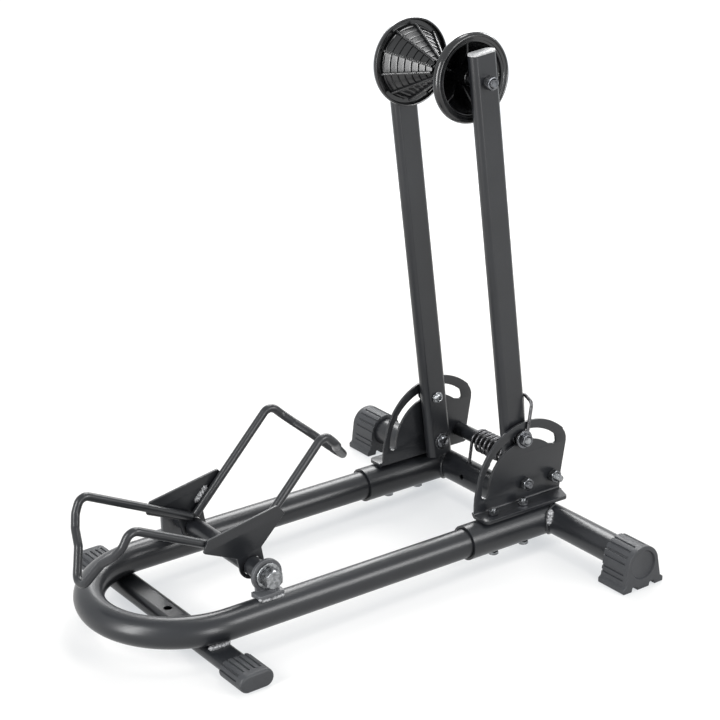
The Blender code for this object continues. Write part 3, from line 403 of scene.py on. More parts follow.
def eased(corners, steps=6):
    """A closed outline through (a, b, radius) corners, each turned into an arc of its radius.

    The arc's points are centre + radius * the blend of its two spokes, made unit length.
    """
    corners = np.asarray(corners, float)
    places = corners[:, :2]
    share = np.linspace(0.0, 1.0, steps + 1)[:, None]
    outline = []
    for before, here, after, radius in zip(np.roll(places, 1, 0), places, np.roll(places, -1, 0),
                                           corners[:, 2]):
        if radius <= 0:
            outline.append(here[None])
            continue
        centre, start, end, _ = corner_arc(before, here, after, radius)
        spoke = start * (1 - share) + end * share
        outline.append(centre + spoke * radius / np.linalg.norm(spoke, axis=1)[:, None])
    return np.concatenate(outline)


def distances(path):
    """How far along a path each of its points lies."""
    return np.concatenate([[0.0], np.cumsum(np.linalg.norm(np.diff(path, axis=0), axis=1))])


def even(outline, count):
    """A closed outline as count points at even steps along it."""
    closed = np.vstack([outline, outline[:1]])
    walked = distances(closed)
    at = np.linspace(0.0, walked[-1], count, endpoint=False)
    return np.column_stack([np.interp(at, walked, closed[:, axis]) for axis in (0, 1)])


def normals(outline):
    """The outward unit normals of an outline that runs against the clock."""
    along = np.roll(outline, -1, 0) - np.roll(outline, 1, 0)
    out = np.column_stack([along[:, 1], -along[:, 0]])
    return out / np.linalg.norm(out, axis=1)[:, None]


def ease(value):
    """0 at 0 and below, 1 at 1 and above, with a smooth step between."""
    value = np.clip(value, 0.0, 1.0)
    return value * value * (3 - 2 * value)


def moulded(name, dark, light, roughness, grain):
    """Moulded plastic: a fine spark-eroded grain with a dusting that is a little lighter."""
    material, shader, place = new_finish(name, Specular_IOR_Level=0.45)
    cloud = place.noise(35.0, 3.0)
    pits = place.noise(grain, 3.0)
    tone = cloud.between(0.3, 0.7) * 0.5 + pits.between(0.35, 0.7) * 0.5
    feed(shader, Base_Color=tone.tint(dark, light),
         Roughness=roughness - 0.05 + 0.1 * cloud + 0.06 * pits,
         Normal=(pits + 0.5 * place.noise(grain * 0.4, 2.0)).bump(0.0002, 0.5))
    return material


matte = moulded("matte_moulding", (0.019, 0.0205, 0.0235), (0.040, 0.0425, 0.047), 0.46, 1500.0)


def about(radius, height, angle, side=1):
    """Ring points about X: (height, radius * cos, radius * sin) for each row and angle."""
    radius, height, angle = np.broadcast_arrays(radius, height, angle)
    return np.stack([side * height, radius * np.cos(angle), radius * np.sin(angle)], -1)


def end_moulding(side, outline, low, high, rounding, grooves, deep, stop):
    """A solid with one outline along X: ring point = outline - normal * (groove + inset).

    Within a rounding r of an end, at a distance e from it, the inset is
    r - sqrt(r * r - (r - e) * (r - e)). The grooves are about 2 mm wide and run from the inner
    end to a distance stop from the outer one.
    """
    out = normals(outline)
    length = high - low
    first, last = rounding
    arc = 1 - np.cos(np.radians(np.arange(0, 91, 15)))
    steps = np.concatenate([first * arc, np.linspace(first, length - last, 46)[1:-1],
                            length - last * arc[::-1]])
    away = np.linalg.norm(outline[:, None] - np.array(grooves), axis=2).min(1)
    groove = deep * ease((0.0013 - away) / 0.0005)
    rings = []
    for step in steps:
        inset = 0.0
        for r, e in ((first, step), (last, length - step)):
            if e < r:
                inset = r - math.sqrt(max(0.0, r * r - (r - e) ** 2))
        depth = inset + groove * ease((length - stop - step) / 0.001)
        points = outline - out * depth[:, None]
        rings.append(np.column_stack([np.full(len(outline), side * (low + step)), points]))
    return outward(skin(np.stack(rings)))


half = [(0.0275, 0.0003, 0.0012), (0.0275, 0.0056, 0.0014), (0.0238, 0.0081, 0.0016)]
pads = [(-0.0158, 0.0, 0.0012), (-0.0148, 0.0045, 0.001), (-0.012, 0.0051, 0.002),
        (-0.009, 0.004, 0.001), (-0.008, 0.0, 0.0012)]
corners = [(y, z - REAR_Z, r) for y, z, r in half]
corners += [(y, z, 0.0) for y, z in circle(FOOT_ARCH, 41, 6.0, 174.0)]
corners += [(-y, z - REAR_Z, r) for y, z, r in half[::-1]]
corners += [(y, z - REAR_Z, r) for y, z, r in pads]
corners += [(-y, z - REAR_Z, r) for y, z, r in pads[::-1]]
foot_outline = even(eased(corners, 5), 520)
foot_grooves = [circle(FOOT_ARCH, 1, a, a)[0] for a in (12, 32, 52, 72, 108, 128, 148, 168)]
foot_grooves += [(y * (0.0238 - (z - 0.0081) * 0.158), z - REAR_Z)
                 for y in (-1, 1) for z in (0.0195, 0.0135)]
dish = np.array([(0.0175, 0.0012), (0.0161, 0.0), (0.0156, -0.0006), (0.0153, -0.0018),
                 (0.0148, -0.0023), (0.0138, -0.0025), (0.0002, -0.0025)])
whole_turn = np.radians(np.arange(0, 360, 4))
for side, word in SIDES:
    foot = end_moulding(side, foot_outline, FOOT_INNER, FOOT_OUTER, (0.0006, 0.0009),
                        foot_grooves, 0.0013, 0.0065)
    hollow = outward(skin(about(dish[:, :1], FOOT_OUTER + dish[:, 1:], whole_turn, side)))
    low, high = sorted((side * (FOOT_INNER - 0.01), side * (TUBE_END_X + GAP)))
    foot = cut(foot, peg(TUBE + 0.0004, low, high, (0.0, 0.0, 0.0), "X", 72), hollow)
    finish_node(f"{word}_rear_foot", "base", "moulded_plastic", matte, foot, place=STAND)


# The sleeves: short steel tubes round the ends of the legs, their rear ends coped to the
# cross tube and welded to it, then coated with the rest. The weld runs round the joint, and
# a thicker run of it lies on the outer side, its lighter grey a painted highlight.
SLEEVE = 0.019
SLEEVE_FRONT = -0.1155
SLEEVE_REAR = -0.0055


def closely(path, step):
    """A path with more stations, no two of them further apart than step."""
    walked = distances(path)
    extra = [np.linspace(a, b, max(1, math.ceil((b - a) / step)), endpoint=False)
             for a, b in zip(walked, walked[1:])]
    at = np.concatenate(extra + [walked[-1:]])
    return np.column_stack([np.interp(at, walked, path[:, axis]) for axis in range(3)])


def weld_bead(path, radius, ripple, pitch):
    """A bead carried along a path: its size is 1 + ripple * a scallop at each pitch."""
    walked = distances(path)
    scallop = np.abs(np.sin(math.pi * walked / pitch))
    ends = ease(np.minimum(walked, walked[-1] - walked) / (1.2 * radius))
    return skin(carried(path, circle(radius, 12), (0.15 + 0.85 * ends) * (1 + ripple * scallop)))


# The welds' grey, lighter than the coat over them, is a painted highlight.
weld_painted_highlight, shader, place = new_finish("weld_with_painted_highlight", Metallic=0.25)
lumps = place.noise(420.0, 4.0)
feed(shader, Base_Color=lumps.between(0.35, 0.65).tint((0.10, 0.101, 0.105), (0.34, 0.345, 0.355)),
     Roughness=0.30 + 0.15 * lumps, Normal=lumps.bump(0.0004, 0.6))


def add_weld(name, body, path, radius, place=FRAME):
    """A weld bead that no CAD node stands for, in lumpy metal whose grey, lighter than the tubes'
    coat, is a painted highlight.
    """
    mesh = weld_bead(closely(np.array(path), 0.0004), radius, 0.25, 0.0036)
    mesh.transform(place)
    mesh.shade_smooth()
    mesh.materials.append(weld_painted_highlight)
    piece = add_object(name, outward(mesh))
    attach(piece, body)


drop = SLEEVE * np.sin(whole_turn) + FRAME_Z - REAR_Z
cope = np.minimum(SLEEVE_REAR, -np.sqrt(np.maximum(0.0, (TUBE + 0.0004) ** 2 - drop ** 2)))
for side, word in SIDES:
    centre = side * LEG_X
    share = ease(np.linspace(0.0, 1.0, 40))[:, None]
    y = SLEEVE_FRONT * (1 - share) + cope * share
    rows = []
    for radius, rings in ((SLEEVE, y), (TUBE + 0.0005, y[::-1])):
        wide = np.broadcast_to(radius * np.cos(whole_turn), rings.shape)
        high = np.broadcast_to(radius * np.sin(whole_turn), rings.shape)
        rows.append(np.stack([centre + wide, rings, high], -1))
    shells = [skin(np.concatenate(rows), True)]
    for flip in (-1, 1):
        wide, high = (1.008 * circle(SLEEVE, 50, -66.0, 66.0)).T
        back = -np.sqrt(np.maximum(0.0, (TUBE + 0.0006) ** 2 - (high + FRAME_Z - REAR_Z) ** 2))
        path = np.column_stack([centre + flip * wide, back, high])
        shells.append(weld_bead(path, 0.0017, 0.22, 0.0034))
    finish_node(f"{word}_sleeve", "base", "powder_coat", powder, *shells)
    edge = [(centre + side * x, y, z) for x, y, z in (
        (0.0150, -0.0088, 0.0148), (0.0190, -0.0123, 0.0105), (0.0210, -0.0150, 0.0045),
        (0.0214, -0.0158, -0.0010))]
    add_weld(f"{word}_sleeve_weld", "base", edge, 0.0034)


# The foot bar: a flat-oval steel tube across the floor under the bend, drilled once on top,
# with a ribbed moulded cap on each end. A weld bead on its top joins it to each side of the U.
BAR_Y = -0.4252
BAR_Z = 0.0096
BAR_END = 0.1665
CAP_DEPTH = 0.0384
CAP_HEIGHT = 0.0192
CAP_INNER = 0.131
CAP_OUTER = 0.1712
BAR = Matrix.Translation((0.0, REAR_Y + BAR_Y, BAR_Z))


def flat_oval(long, short, radius, count):
    """An outline of two flat sides and two ends, run against the clock from the first axis.

    Each end is an arc, and its radius is at least half the short way.
    """
    reach = math.asin(short / 2 / radius)
    angle = np.linspace(-reach, reach, 40)
    end = np.column_stack([long / 2 - radius + radius * np.cos(angle), radius * np.sin(angle)])
    return even(np.concatenate([end, -end]), count)


bar_path = np.linspace((-BAR_END, 0.0, 0.0), (BAR_END, 0.0, 0.0), 150)
bar = tube(bar_path, flat_oval(0.030, 0.015, 0.0075, 96), flat_oval(0.027, 0.012, 0.006, 96))
bar = cut(bar, peg(0.0045, 0.0, 0.02, (0.0, 0.0, 0.0)))
finish_node("front_foot_bar", "base", "powder_coat", powder, bar, place=BAR)
for side, word in SIDES:
    seam = [(side * x, y, 0.0086) for x, y in (
        (0.1005, -0.0125), (0.1025, -0.0040), (0.1025, 0.0050), (0.1010, 0.0130))]
    add_weld(f"{word}_foot_bar_weld", "base", seam, 0.0026, BAR)

cap_end = CAP_HEIGHT / 2
cap_grooves = [(y, cap_end) for y in (-0.0095, -0.0032, 0.0032, 0.0095)]
cap_grooves += [(flip * (CAP_DEPTH / 2 - cap_end + y), z)
                for flip in (-1, 1) for y, z in circle(cap_end, 2, 52, 18)]
for side, word in SIDES:
    cap = end_moulding(side, flat_oval(CAP_DEPTH, CAP_HEIGHT, cap_end, 400), CAP_INNER, CAP_OUTER,
                       (0.0006, 0.0032), cap_grooves, 0.0014, 0.0095)
    ends = [np.column_stack([np.full(96, side * x), flat_oval(0.0307, 0.0157, 0.00785, 96)])
            for x in (CAP_INNER - 0.01, BAR_END + GAP)]
    cap = cut(cap, outward(skin(np.stack(ends))))
    finish_node(f"{word}_front_cap", "base", "moulded_plastic", matte, cap, place=BAR)


# The quadrant plates: 3 mm steel, laser cut with a quadrant top and a curved slot, folded out
# at the foot and bolted down through sleeve and leg. The coat is thin on their cut edges, which
# the coat's colour paints lighter, partly as wear and partly as a painted highlight.
PLATE_IN = 0.082
PLATE_OUT = 0.085
PIVOT_Y = -0.0246
PIVOT_Z = 0.0411
ARC_Y = -0.0204
ARC_Z = 0.0435
FLANGE_OUT = 0.108
FLANGE_LOW = 0.0193
FLANGE_HIGH = 0.0233
FOLD = 0.0058
FLANGE_FRONT = -0.0958
FLANGE_REAR = 0.0160
SHAFT_Y = 0.0144
SHAFT_Z = 0.0401
PLATE_EDGE = 0.00035
M8_HOLE = 0.0044


def around(centre, radius, start, end, count):
    """An arc's points about a centre, in degrees from start to end."""
    return np.asarray(centre) + circle(radius, count, start, end)


def plate(loops, low, high, edge):
    """A flat plate from closed outlines, its later ones holes, its edges rounded by edge.

    It is a filled flat curve with a bevel, drawn in by the bevel so that it keeps its size.
    """
    curve = bpy.data.curves.new("plate", "CURVE")
    curve.dimensions = "2D"
    curve.fill_mode = "BOTH"
    curve.extrude = (high - low) / 2 - edge
    curve.bevel_depth = edge
    curve.bevel_resolution = 2
    curve.offset = -edge
    for loop in loops:
        spline = curve.splines.new("POLY")
        spline.points.add(len(loop) - 1)
        flat = np.column_stack([loop, np.zeros(len(loop)), np.ones(len(loop))])
        spline.points.foreach_set("co", flat.astype(np.float32).ravel())
        spline.use_cyclic_u = True
    holder = add_object("plate", curve)
    graph = bpy.context.evaluated_depsgraph_get()
    mesh = bpy.data.meshes.new_from_object(holder.evaluated_get(graph))
    bpy.data.objects.remove(holder)
    bpy.data.curves.remove(curve)
    mesh.materials.clear()
    shape = bmesh.new()
    shape.from_mesh(mesh)
    bmesh.ops.remove_doubles(shape, verts=shape.verts, dist=0.000005)
    bmesh.ops.recalc_face_normals(shape, faces=shape.faces)
    shape.to_mesh(mesh)
    shape.free()
    mesh.transform(Matrix.Translation((0.0, 0.0, (low + high) / 2)))
    return mesh


def on_side(side, low, high):
    """Two distances from the middle plane as X values on one side, the lower value first."""
    return (low, high) if side > 0 else (-high, -low)


pivot = (PIVOT_Y, PIVOT_Z)
plate_outline = np.concatenate([
    [(-0.0935, 0.0222), (0.0245, 0.0222), (0.0265, 0.0424), (0.0288, 0.0538), (0.0319, 0.0696),
     (0.0332, 0.0764), (0.0333, 0.0812), (0.0318, 0.0863), (0.0288, 0.0912)],
    around((ARC_Y, ARC_Z), 0.0693, 45.0, 168.0, 80),
    [(-0.0906, 0.0498), (-0.0925, 0.0410), (-0.0933, 0.0330), (-0.0935, 0.0255)]])
slot_low = around(pivot, 0.05495, 179.0, 179.0, 1)[0]
slot_outline = np.concatenate([around(slot_low, 0.00465, 357.0, 181.0, 14)] + [
    around(pivot, radius, start, end, count) for radius, start, end, count in (
        (0.0596, 177.0, 149.0, 14), (0.0588, 147.5, 144.5, 3), (0.0596, 143.0, 93.0, 30),
        (0.0627, 89.5, 48.0, 24), (0.0607, 44.5, 44.5, 1), (0.0575, 40.5, 40.5, 1),
        (0.0545, 41.0, 41.0, 1), (0.0520, 45.5, 45.5, 1), (0.0503, 49.0, 177.0, 72))])

for side, word in SIDES:
    web = plate([plate_outline, slot_outline, around(pivot, M8_HOLE, 0, 360, 32),
                 around((SHAFT_Y, SHAFT_Z), M8_HOLE, 0, 360, 32)],
                *on_side(side, PLATE_IN, PLATE_OUT), PLATE_EDGE)
    web.transform(TURN_Z_TO_X)
    flange = eased([(PLATE_IN + 0.0045, FLANGE_FRONT, 0.0), (FLANGE_OUT, FLANGE_FRONT, 0.006),
                    (FLANGE_OUT, FLANGE_REAR, 0.004), (0.0925, 0.0215, 0.0),
                    (PLATE_IN + 0.0045, 0.0234, 0.0)])
    flange[:, 0] *= side
    flange = plate([flange] + [around((side * BOLT_X, y), BOLT_HOLE, 0, 360, 28)
                               for y in BOLTS_Y], FLANGE_LOW, FLANGE_HIGH, PLATE_EDGE)
    middle = (PLATE_IN + FOLD, FLANGE_LOW + FOLD)
    fold = np.concatenate([around(middle, FOLD, 180, 270, 9),
                           [(PLATE_IN + 0.0075, FLANGE_LOW), (PLATE_IN + 0.0075, FLANGE_HIGH)],
                           around(middle, 0.0024, 270, 180, 9)])
    fold[:, 0] *= side
    rows = np.stack([np.column_stack([fold[:, 0], np.full(len(fold), y), fold[:, 1]])
                     for y in (FLANGE_FRONT + 0.0002, 0.0236)])
    finish_node(f"{word}_quadrant_plate", "base", "powder_coat", powder, web, flange, skin(rows))


# The frame bolts: small zinc-plated screws up through sleeve and leg, with a hexagon nut on
# the flange that the thread stands out of.
def hexagon(angle, across):
    """The distance from the middle to a hexagon's side; its corners are at 0, 60, ... degrees."""
    return across / 2 / np.cos(np.mod(angle, math.pi / 3) - math.pi / 6)


def hex_nut(across, low, high, bore, turn, side=1):
    """A nut along X: radius = the least of hexagon, corner circle and chamfer cone.

    The cone starts at the face just inside the flats and widens by 1.9 per unit of height.
    """
    flat = hexagon(whole_turn, across)[None]
    lift = (flat.max() * 0.985 - across * 0.48) / 1.9
    steps = np.linspace(0.0, lift, 5)
    height = np.concatenate([low + steps, high - steps[::-1]])[:, None]
    cone = across * 0.48 + 1.9 * np.minimum(height - low, high - height)
    radius = np.minimum(np.minimum(flat, flat.max() * 0.985), cone)
    inside = np.full((1, len(whole_turn)), bore)
    entry = min(0.0006, (high - low) / 4)
    radius = np.concatenate([inside, inside + entry, radius, inside + entry, inside])
    height = np.concatenate([[[low + entry], [low]], height, [[high], [high - entry]]])
    return skin(about(radius, height, whole_turn + math.radians(turn), side), True)


def thread(radius, low, high, pitch, side=1):
    """A screw's end along X: radius - a ridge wave of height / pitch - angle / turn, bevelled."""
    angle = np.radians(np.arange(0, 360, 10))
    height = np.linspace(low, high, max(8, int((high - low) / pitch * 7)))[:, None]
    wave = np.abs(np.mod(height / pitch - angle / (2 * math.pi), 1.0) - 0.5) * 2
    body = radius - 0.55 * pitch * wave
    body = np.minimum(body, radius * 0.80 + (high - height) * 1.1)
    return skin(about(body, height, angle, side))


def stock(radius, low, high, side=1):
    """A plain round bar along X."""
    angle = np.radians(np.arange(0, 360, 12))
    return skin(about(radius, np.array([[low], [high]]), angle, side))


def plated(name, dark, light, metallic, roughness):
    """Plated steel: even metal with faint clouding and fine drawn scratches."""
    material, shader, place = new_finish(name, Metallic=metallic)
    cloud = place.noise(240.0, 3.0)
    drawn = place.node("ShaderNodeMapping", {}, {"Vector": place, "Scale": (9.0, 1.0, 1.0)})
    scratch = drawn.noise(900.0, 2.0)
    feed(shader, Base_Color=cloud.between(0.3, 0.7).tint(dark, light),
         Roughness=roughness + 0.12 * cloud - 0.05 * scratch,
         Normal=(scratch + cloud).bump(0.00008, 0.5))
    return material


zinc = plated("bright_zinc", (0.15, 0.155, 0.16), (0.34, 0.35, 0.36), 0.95, 0.20)
black_zinc = plated("black_zinc", (0.070, 0.072, 0.078), (0.17, 0.175, 0.185), 0.88, 0.16)
UPRIGHT = Matrix.Rotation(math.radians(-90), 4, "Y")
M6_ACROSS = 0.010

for side, word in SIDES:
    for index, y in enumerate(BOLTS_Y):
        spot = FRAME @ Matrix.Translation((side * BOLT_X, y, 0.0)) @ UPRIGHT
        finish_node(f"{word}_frame_bolt_{index + 1}", "base", "zinc_plate", zinc,
                    thread(0.003, 0.018, FLANGE_HIGH + 0.0075, 0.001),
                    stock(0.0028, -0.021, 0.0185), hex_nut(M6_ACROSS, -0.0231, -0.0196, 0.0024, 9),
                    place=spot)
        low = FLANGE_HIGH + GAP
        finish_node(f"{word}_frame_nut_{index + 1}", "base", "zinc_plate", black_zinc,
                    hex_nut(M6_ACROSS, low, low + 0.005, 0.0033, 10 + 40 * index), place=spot)


# The arms: flat-oval steel tubes on a pivot, each closed at the top by a grey moulded plug
# with a thin flat head. Bolts and spacers cover their holes, so none are cut.
ARM_X = 0.0713
ARM_IN = 0.0638
ARM_OUT = 0.0788
ARM_LOW = -0.0175
ARM_TOP = 0.4773
ARM_LEAN = math.radians(5.76)
ARM_IN_FRAME = Matrix.Translation((0.0, PIVOT_Y, PIVOT_Z)) @ Matrix.Rotation(ARM_LEAN, 4, "X")
ARM = FRAME @ ARM_IN_FRAME


def upright_rows(side, outline, heights, insets):
    """Rings of one outline at heights on a side's arm, each drawn in by its inset."""
    out = normals(outline)
    rows = np.stack([np.column_stack([outline - out * inset, np.full(len(outline), height)])
                     for height, inset in zip(heights, insets)])
    return rows + (side * ARM_X, 0.0, 0.0)


pale, shader, place = new_finish("pale_plug")
dust = place.noise(380.0, 3.0)
feed(shader, Base_Color=dust.between(0.3, 0.7).tint((0.28, 0.285, 0.29), (0.50, 0.505, 0.51)),
     Roughness=0.38 + 0.15 * dust, Normal=place.noise(1300.0, 2.0).bump(0.00012, 0.5))

arm_outline = flat_oval(0.0312, 0.015, 0.0080, 112)[::-1, ::-1]
arm_bore = flat_oval(0.0282, 0.012, 0.0062, 112)[::-1, ::-1]
for side, word in SIDES:
    heights = np.linspace(ARM_LOW, ARM_TOP, 80)
    rows = np.concatenate([upright_rows(side, arm_outline, heights, np.zeros(80)),
                           upright_rows(side, arm_bore, heights[::-1], np.zeros(80))])
    finish_node(f"{word}_arm", "arms", "powder_coat", powder, skin(rows, True), place=ARM)
    low = ARM_TOP + GAP
    head = upright_rows(side, arm_outline, (low, low, low + 0.0012, low + 0.0016, low + 0.0018),
                        (0.0006, 0.0, 0.0, 0.00015, 0.0007))
    stem = upright_rows(side, arm_bore, (ARM_TOP - 0.010, low + 0.0005), (0.0006, 0.0003))
    finish_node(f"{word}_arm_cap", "arms", "bright_plastic", pale, skin(head), skin(stem),
                place=ARM)


# The pivot and limit bolts: button-headed screws from each arm's inner face through arm,
# spacer and plate, with nuts outside. The limit bolt runs in the slot on a wide washer.
LIMIT_Z = 0.0549
EYE_X = 0.0872
M8 = 0.004
M8_SHANK = 0.0037
M8_ACROSS = 0.013
M8_PITCH = 0.00125
EDGE = 0.0003


def ring_part(outer, inner, low, high, edge, side=1):
    """A washer or bush along X: its section is a rectangle with rounded corners, turned."""
    section = eased([(outer, low, edge), (outer, high, edge), (inner, high, edge),
                     (inner, low, edge)], 3)
    angle = np.radians(np.arange(0, 360, 6))
    return skin(about(section[:, :1], section[:, 1:], angle, side), True)


def button_head(radius, rise, face, socket, side):
    """A low domed head along -X from a face, with a hexagon socket sunk in its top.

    Rows run over the dome, radius * cos and rise * sin, to the socket's hexagon and down it.
    """
    bend = np.radians(np.linspace(0.0, 68.0, 9))[:, None]
    six = hexagon(whole_turn, socket)[None]
    dome = radius * np.cos(bend) + 0.0 * six
    rows = np.concatenate([dome[:1] * 0.98, dome, six * 1.06, six, six, six * 0.15])
    lift = np.concatenate([[0.0], 0.0004 + (rise - 0.0004) * np.sin(bend[:, 0]),
                           [rise, rise - 0.0002, rise * 0.25, rise * 0.15]])[:, None]
    return skin(about(rows, face - lift, whole_turn, side))


for side, word in SIDES:
    face = ARM_IN - GAP
    washer_low = PLATE_OUT + GAP if side < 0 else EYE_X + 0.0022
    nut_low = washer_low + 0.0023
    for kind, height, end, rim, head in (("pivot", 0.0, 0.0948, 0.0095, black_zinc),
                                         ("limit", LIMIT_Z, nut_low + 0.0060, 0.0068, zinc)):
        spot = ARM @ Matrix.Translation((0.0, 0.0, height))
        finish_node(f"{word}_{kind}_bolt", "arms", "black_oxide", head,
                    ring_part(rim, 0.0035, face - 0.0014, face, EDGE, side),
                    button_head(min(rim - 0.0008, 0.0070), 0.0034, face - 0.0014, 0.005, side),
                    stock(M8_SHANK, face - 0.0005, PLATE_OUT, side),
                    thread(M8, PLATE_OUT - 0.0002, end, M8_PITCH, side), place=spot)
        wide = 0.0095 if kind == "pivot" else 0.008
        finish_node(f"{word}_{kind}_spacer", "arms", "black_oxide", black_zinc,
                    ring_part(wide, M8_HOLE, ARM_OUT + GAP, PLATE_IN - GAP, EDGE, side), place=spot)
    spot = ARM @ Matrix.Translation((0.0, 0.0, LIMIT_Z))
    finish_node(f"{word}_limit_washer", "arms", "black_oxide", black_zinc,
                ring_part(0.010, M8_HOLE, washer_low, washer_low + 0.002, 0.0004, side), place=spot)
    finish_node(f"{word}_limit_nut", "arms", "black_oxide", black_zinc,
                hex_nut(M8_ACROSS, nut_low, nut_low + 0.0050, M8_HOLE, 5, side), place=spot)
    low = PLATE_OUT + GAP
    finish_node(f"{word}_pivot_nut", "arms", "black_oxide", black_zinc,
                hex_nut(M8_ACROSS, low, low + 0.0065, M8_HOLE, 20, side), place=ARM)


# The torsion spring: one hardened wire, wound round a tube on a threaded shaft between the
# plates. Its lower leg sits in the cross tube; its long leg ends in an eye on the limit bolt.
WIRE = 0.0019
COIL = 0.0117
COIL_PITCH = 0.0073
COIL_START = -0.0423
COIL_ANGLE = 171.0
COIL_TURN = 4660.6


def bent(corners, steps=8):
    """A path in space through (x, y, z, radius) corners, each bend drawn as an arc.

    At a share s of a bend of angle t the spoke is (start * sin((1 - s) * t) + end * sin(s * t))
    / sin(t).
    """
    corners = np.asarray(corners, float)
    places = corners[:, :3]
    share = np.linspace(0.0, 1.0, steps + 1)[:, None]
    path = [places[:1]]
    for before, here, after, radius in zip(places, places[1:], places[2:], corners[1:, 3]):
        centre, start, end, half = corner_arc(before, here, after, radius)
        turn = math.pi - 2 * half
        spoke = (start * np.sin((1 - share) * turn) + end * np.sin(share * turn)) / math.sin(turn)
        path.append(centre + spoke)
    return np.concatenate(path + [places[-1:]])


share = np.linspace(0.0, 1.0, 520)
angle = np.radians(COIL_ANGLE - COIL_TURN * share)
coil = np.column_stack([COIL_START + COIL_PITCH * COIL_TURN / 360 * share,
                        SHAFT_Y + COIL * np.cos(angle),
                        SHAFT_Z - 0.0010 + COIL * np.sin(angle)])
start = math.radians(COIL_ANGLE)
lower = coil[0] + 0.038 * np.array((0.0, -math.sin(start), math.cos(start)))
eye_place = np.array(ARM_IN_FRAME @ Vector((EYE_X, 0.0, LIMIT_Z)))
eye = np.column_stack([np.full(40, EYE_X), *around(eye_place[1:], 0.0062, 12, -263, 40).T])
leg = bent([(*coil[-1], 0), (0.0690, -0.0160, 0.1405, 0.0060), (EYE_X, -0.0174, 0.1340, 0.006),
            (*eye[0], 0)])
spring_path = np.concatenate([closely(np.stack([lower, coil[0]]), 0.004)[:-1], coil,
                              closely(leg, 0.003)[1:-1], eye])

tempered, shader, place = new_finish("tempered_wire")
marks = place.noise(300.0, 4.0)
feed(shader, Base_Color=marks.between(0.35, 0.7).tint((0.045, 0.045, 0.048), (0.12, 0.12, 0.125)),
     Metallic=0.6 + 0.2 * marks, Roughness=0.22 + 0.12 * marks, Normal=marks.bump(0.0001, 0.4))
finish_node("torsion_spring", "base", "spring_steel", tempered,
            skin(carried(spring_path, circle(WIRE, 14))))

shaft = FRAME @ Matrix.Translation((0.0, SHAFT_Y, SHAFT_Z))
finish_node("spring_shaft", "base", "black_oxide", zinc, stock(0.0036, -0.085, 0.085),
            thread(M8, 0.0848, 0.0995, M8_PITCH), thread(M8, 0.0848, 0.0995, M8_PITCH, -1),
            place=shaft)
finish_node("spring_shaft_tube", "base", "black_oxide", powder,
            ring_part(0.008, M8_HOLE, -PLATE_IN + GAP, PLATE_IN - GAP, EDGE), place=shaft)
for side, word in SIDES:
    finish_node(f"{word}_shaft_nut", "base", "black_oxide", black_zinc,
                hex_nut(M8_ACROSS, PLATE_OUT + GAP, 0.0921, M8_HOLE, 25, side), place=shaft)


# The cone rollers: glossy black mouldings that grip the tyre. Ten hatched ribs run up each
# cone over seven steps; a deep ring groove parts it from the rolled lip, and the dish behind
# has two ledges, six radial webs and a hub round the axle.
AXLE_Z = 0.4487
TIP_X = 0.0015
TIP_R = 0.0085
BASE_X = 0.0478
BASE_R = 0.0376
BANDS = 7
STEP_RISE = 0.0009
RIBS = 10
RIB_TOP = 0.0012
RIB_FOOT = 0.0014
RIB_RISE = 0.0032
HATCH_PITCH = 0.0021
HATCH_RISE = 0.0003
HUB_END = 0.0520
TOOTH = [(0.0, -0.35), (0.04, -0.30), (0.06, 0.95), (0.10, 1.0)]
TOOTH += [(0.18 + 0.08 * k, 0.93 - 0.09 * k) for k in range(10)] + [(0.96, 0.05)]
RIM = [(0.0481, 0.0378), (0.0486, 0.0381), (0.0526, 0.0384), (0.0532, 0.0390), (0.0532, 0.0434),
       (0.0527, 0.0440), (0.0488, 0.0445), (0.0482, 0.0449), (0.0480, 0.0456), (0.0484, 0.0463),
       (0.0492, 0.0467), (0.0503, 0.0468), (0.0516, 0.0467), (0.0530, 0.0463), (0.0542, 0.0457),
       (0.0552, 0.0449), (0.0559, 0.0440), (0.0561, 0.0433), (0.0558, 0.0427), (0.0552, 0.0423),
       (0.0550, 0.0418), (0.0550, 0.0400), (0.0547, 0.0394), (0.0541, 0.0391), (0.0539, 0.0385),
       (0.0539, 0.0374), (0.0534, 0.0368), (0.0520, 0.0364), (0.0500, 0.0357), (0.0488, 0.0345)]
DISH = [(0.0400, 0.0296), (0.0300, 0.0233), (0.0200, 0.0168), (0.0145, 0.0133), (0.0145, 0.0091),
        (0.0300, 0.0089), (0.0512, 0.0088), (0.0519, 0.0084), (HUB_END, 0.0078),
        (HUB_END, 0.0048), (0.0516, M8_HOLE), (TIP_X, M8_HOLE)]


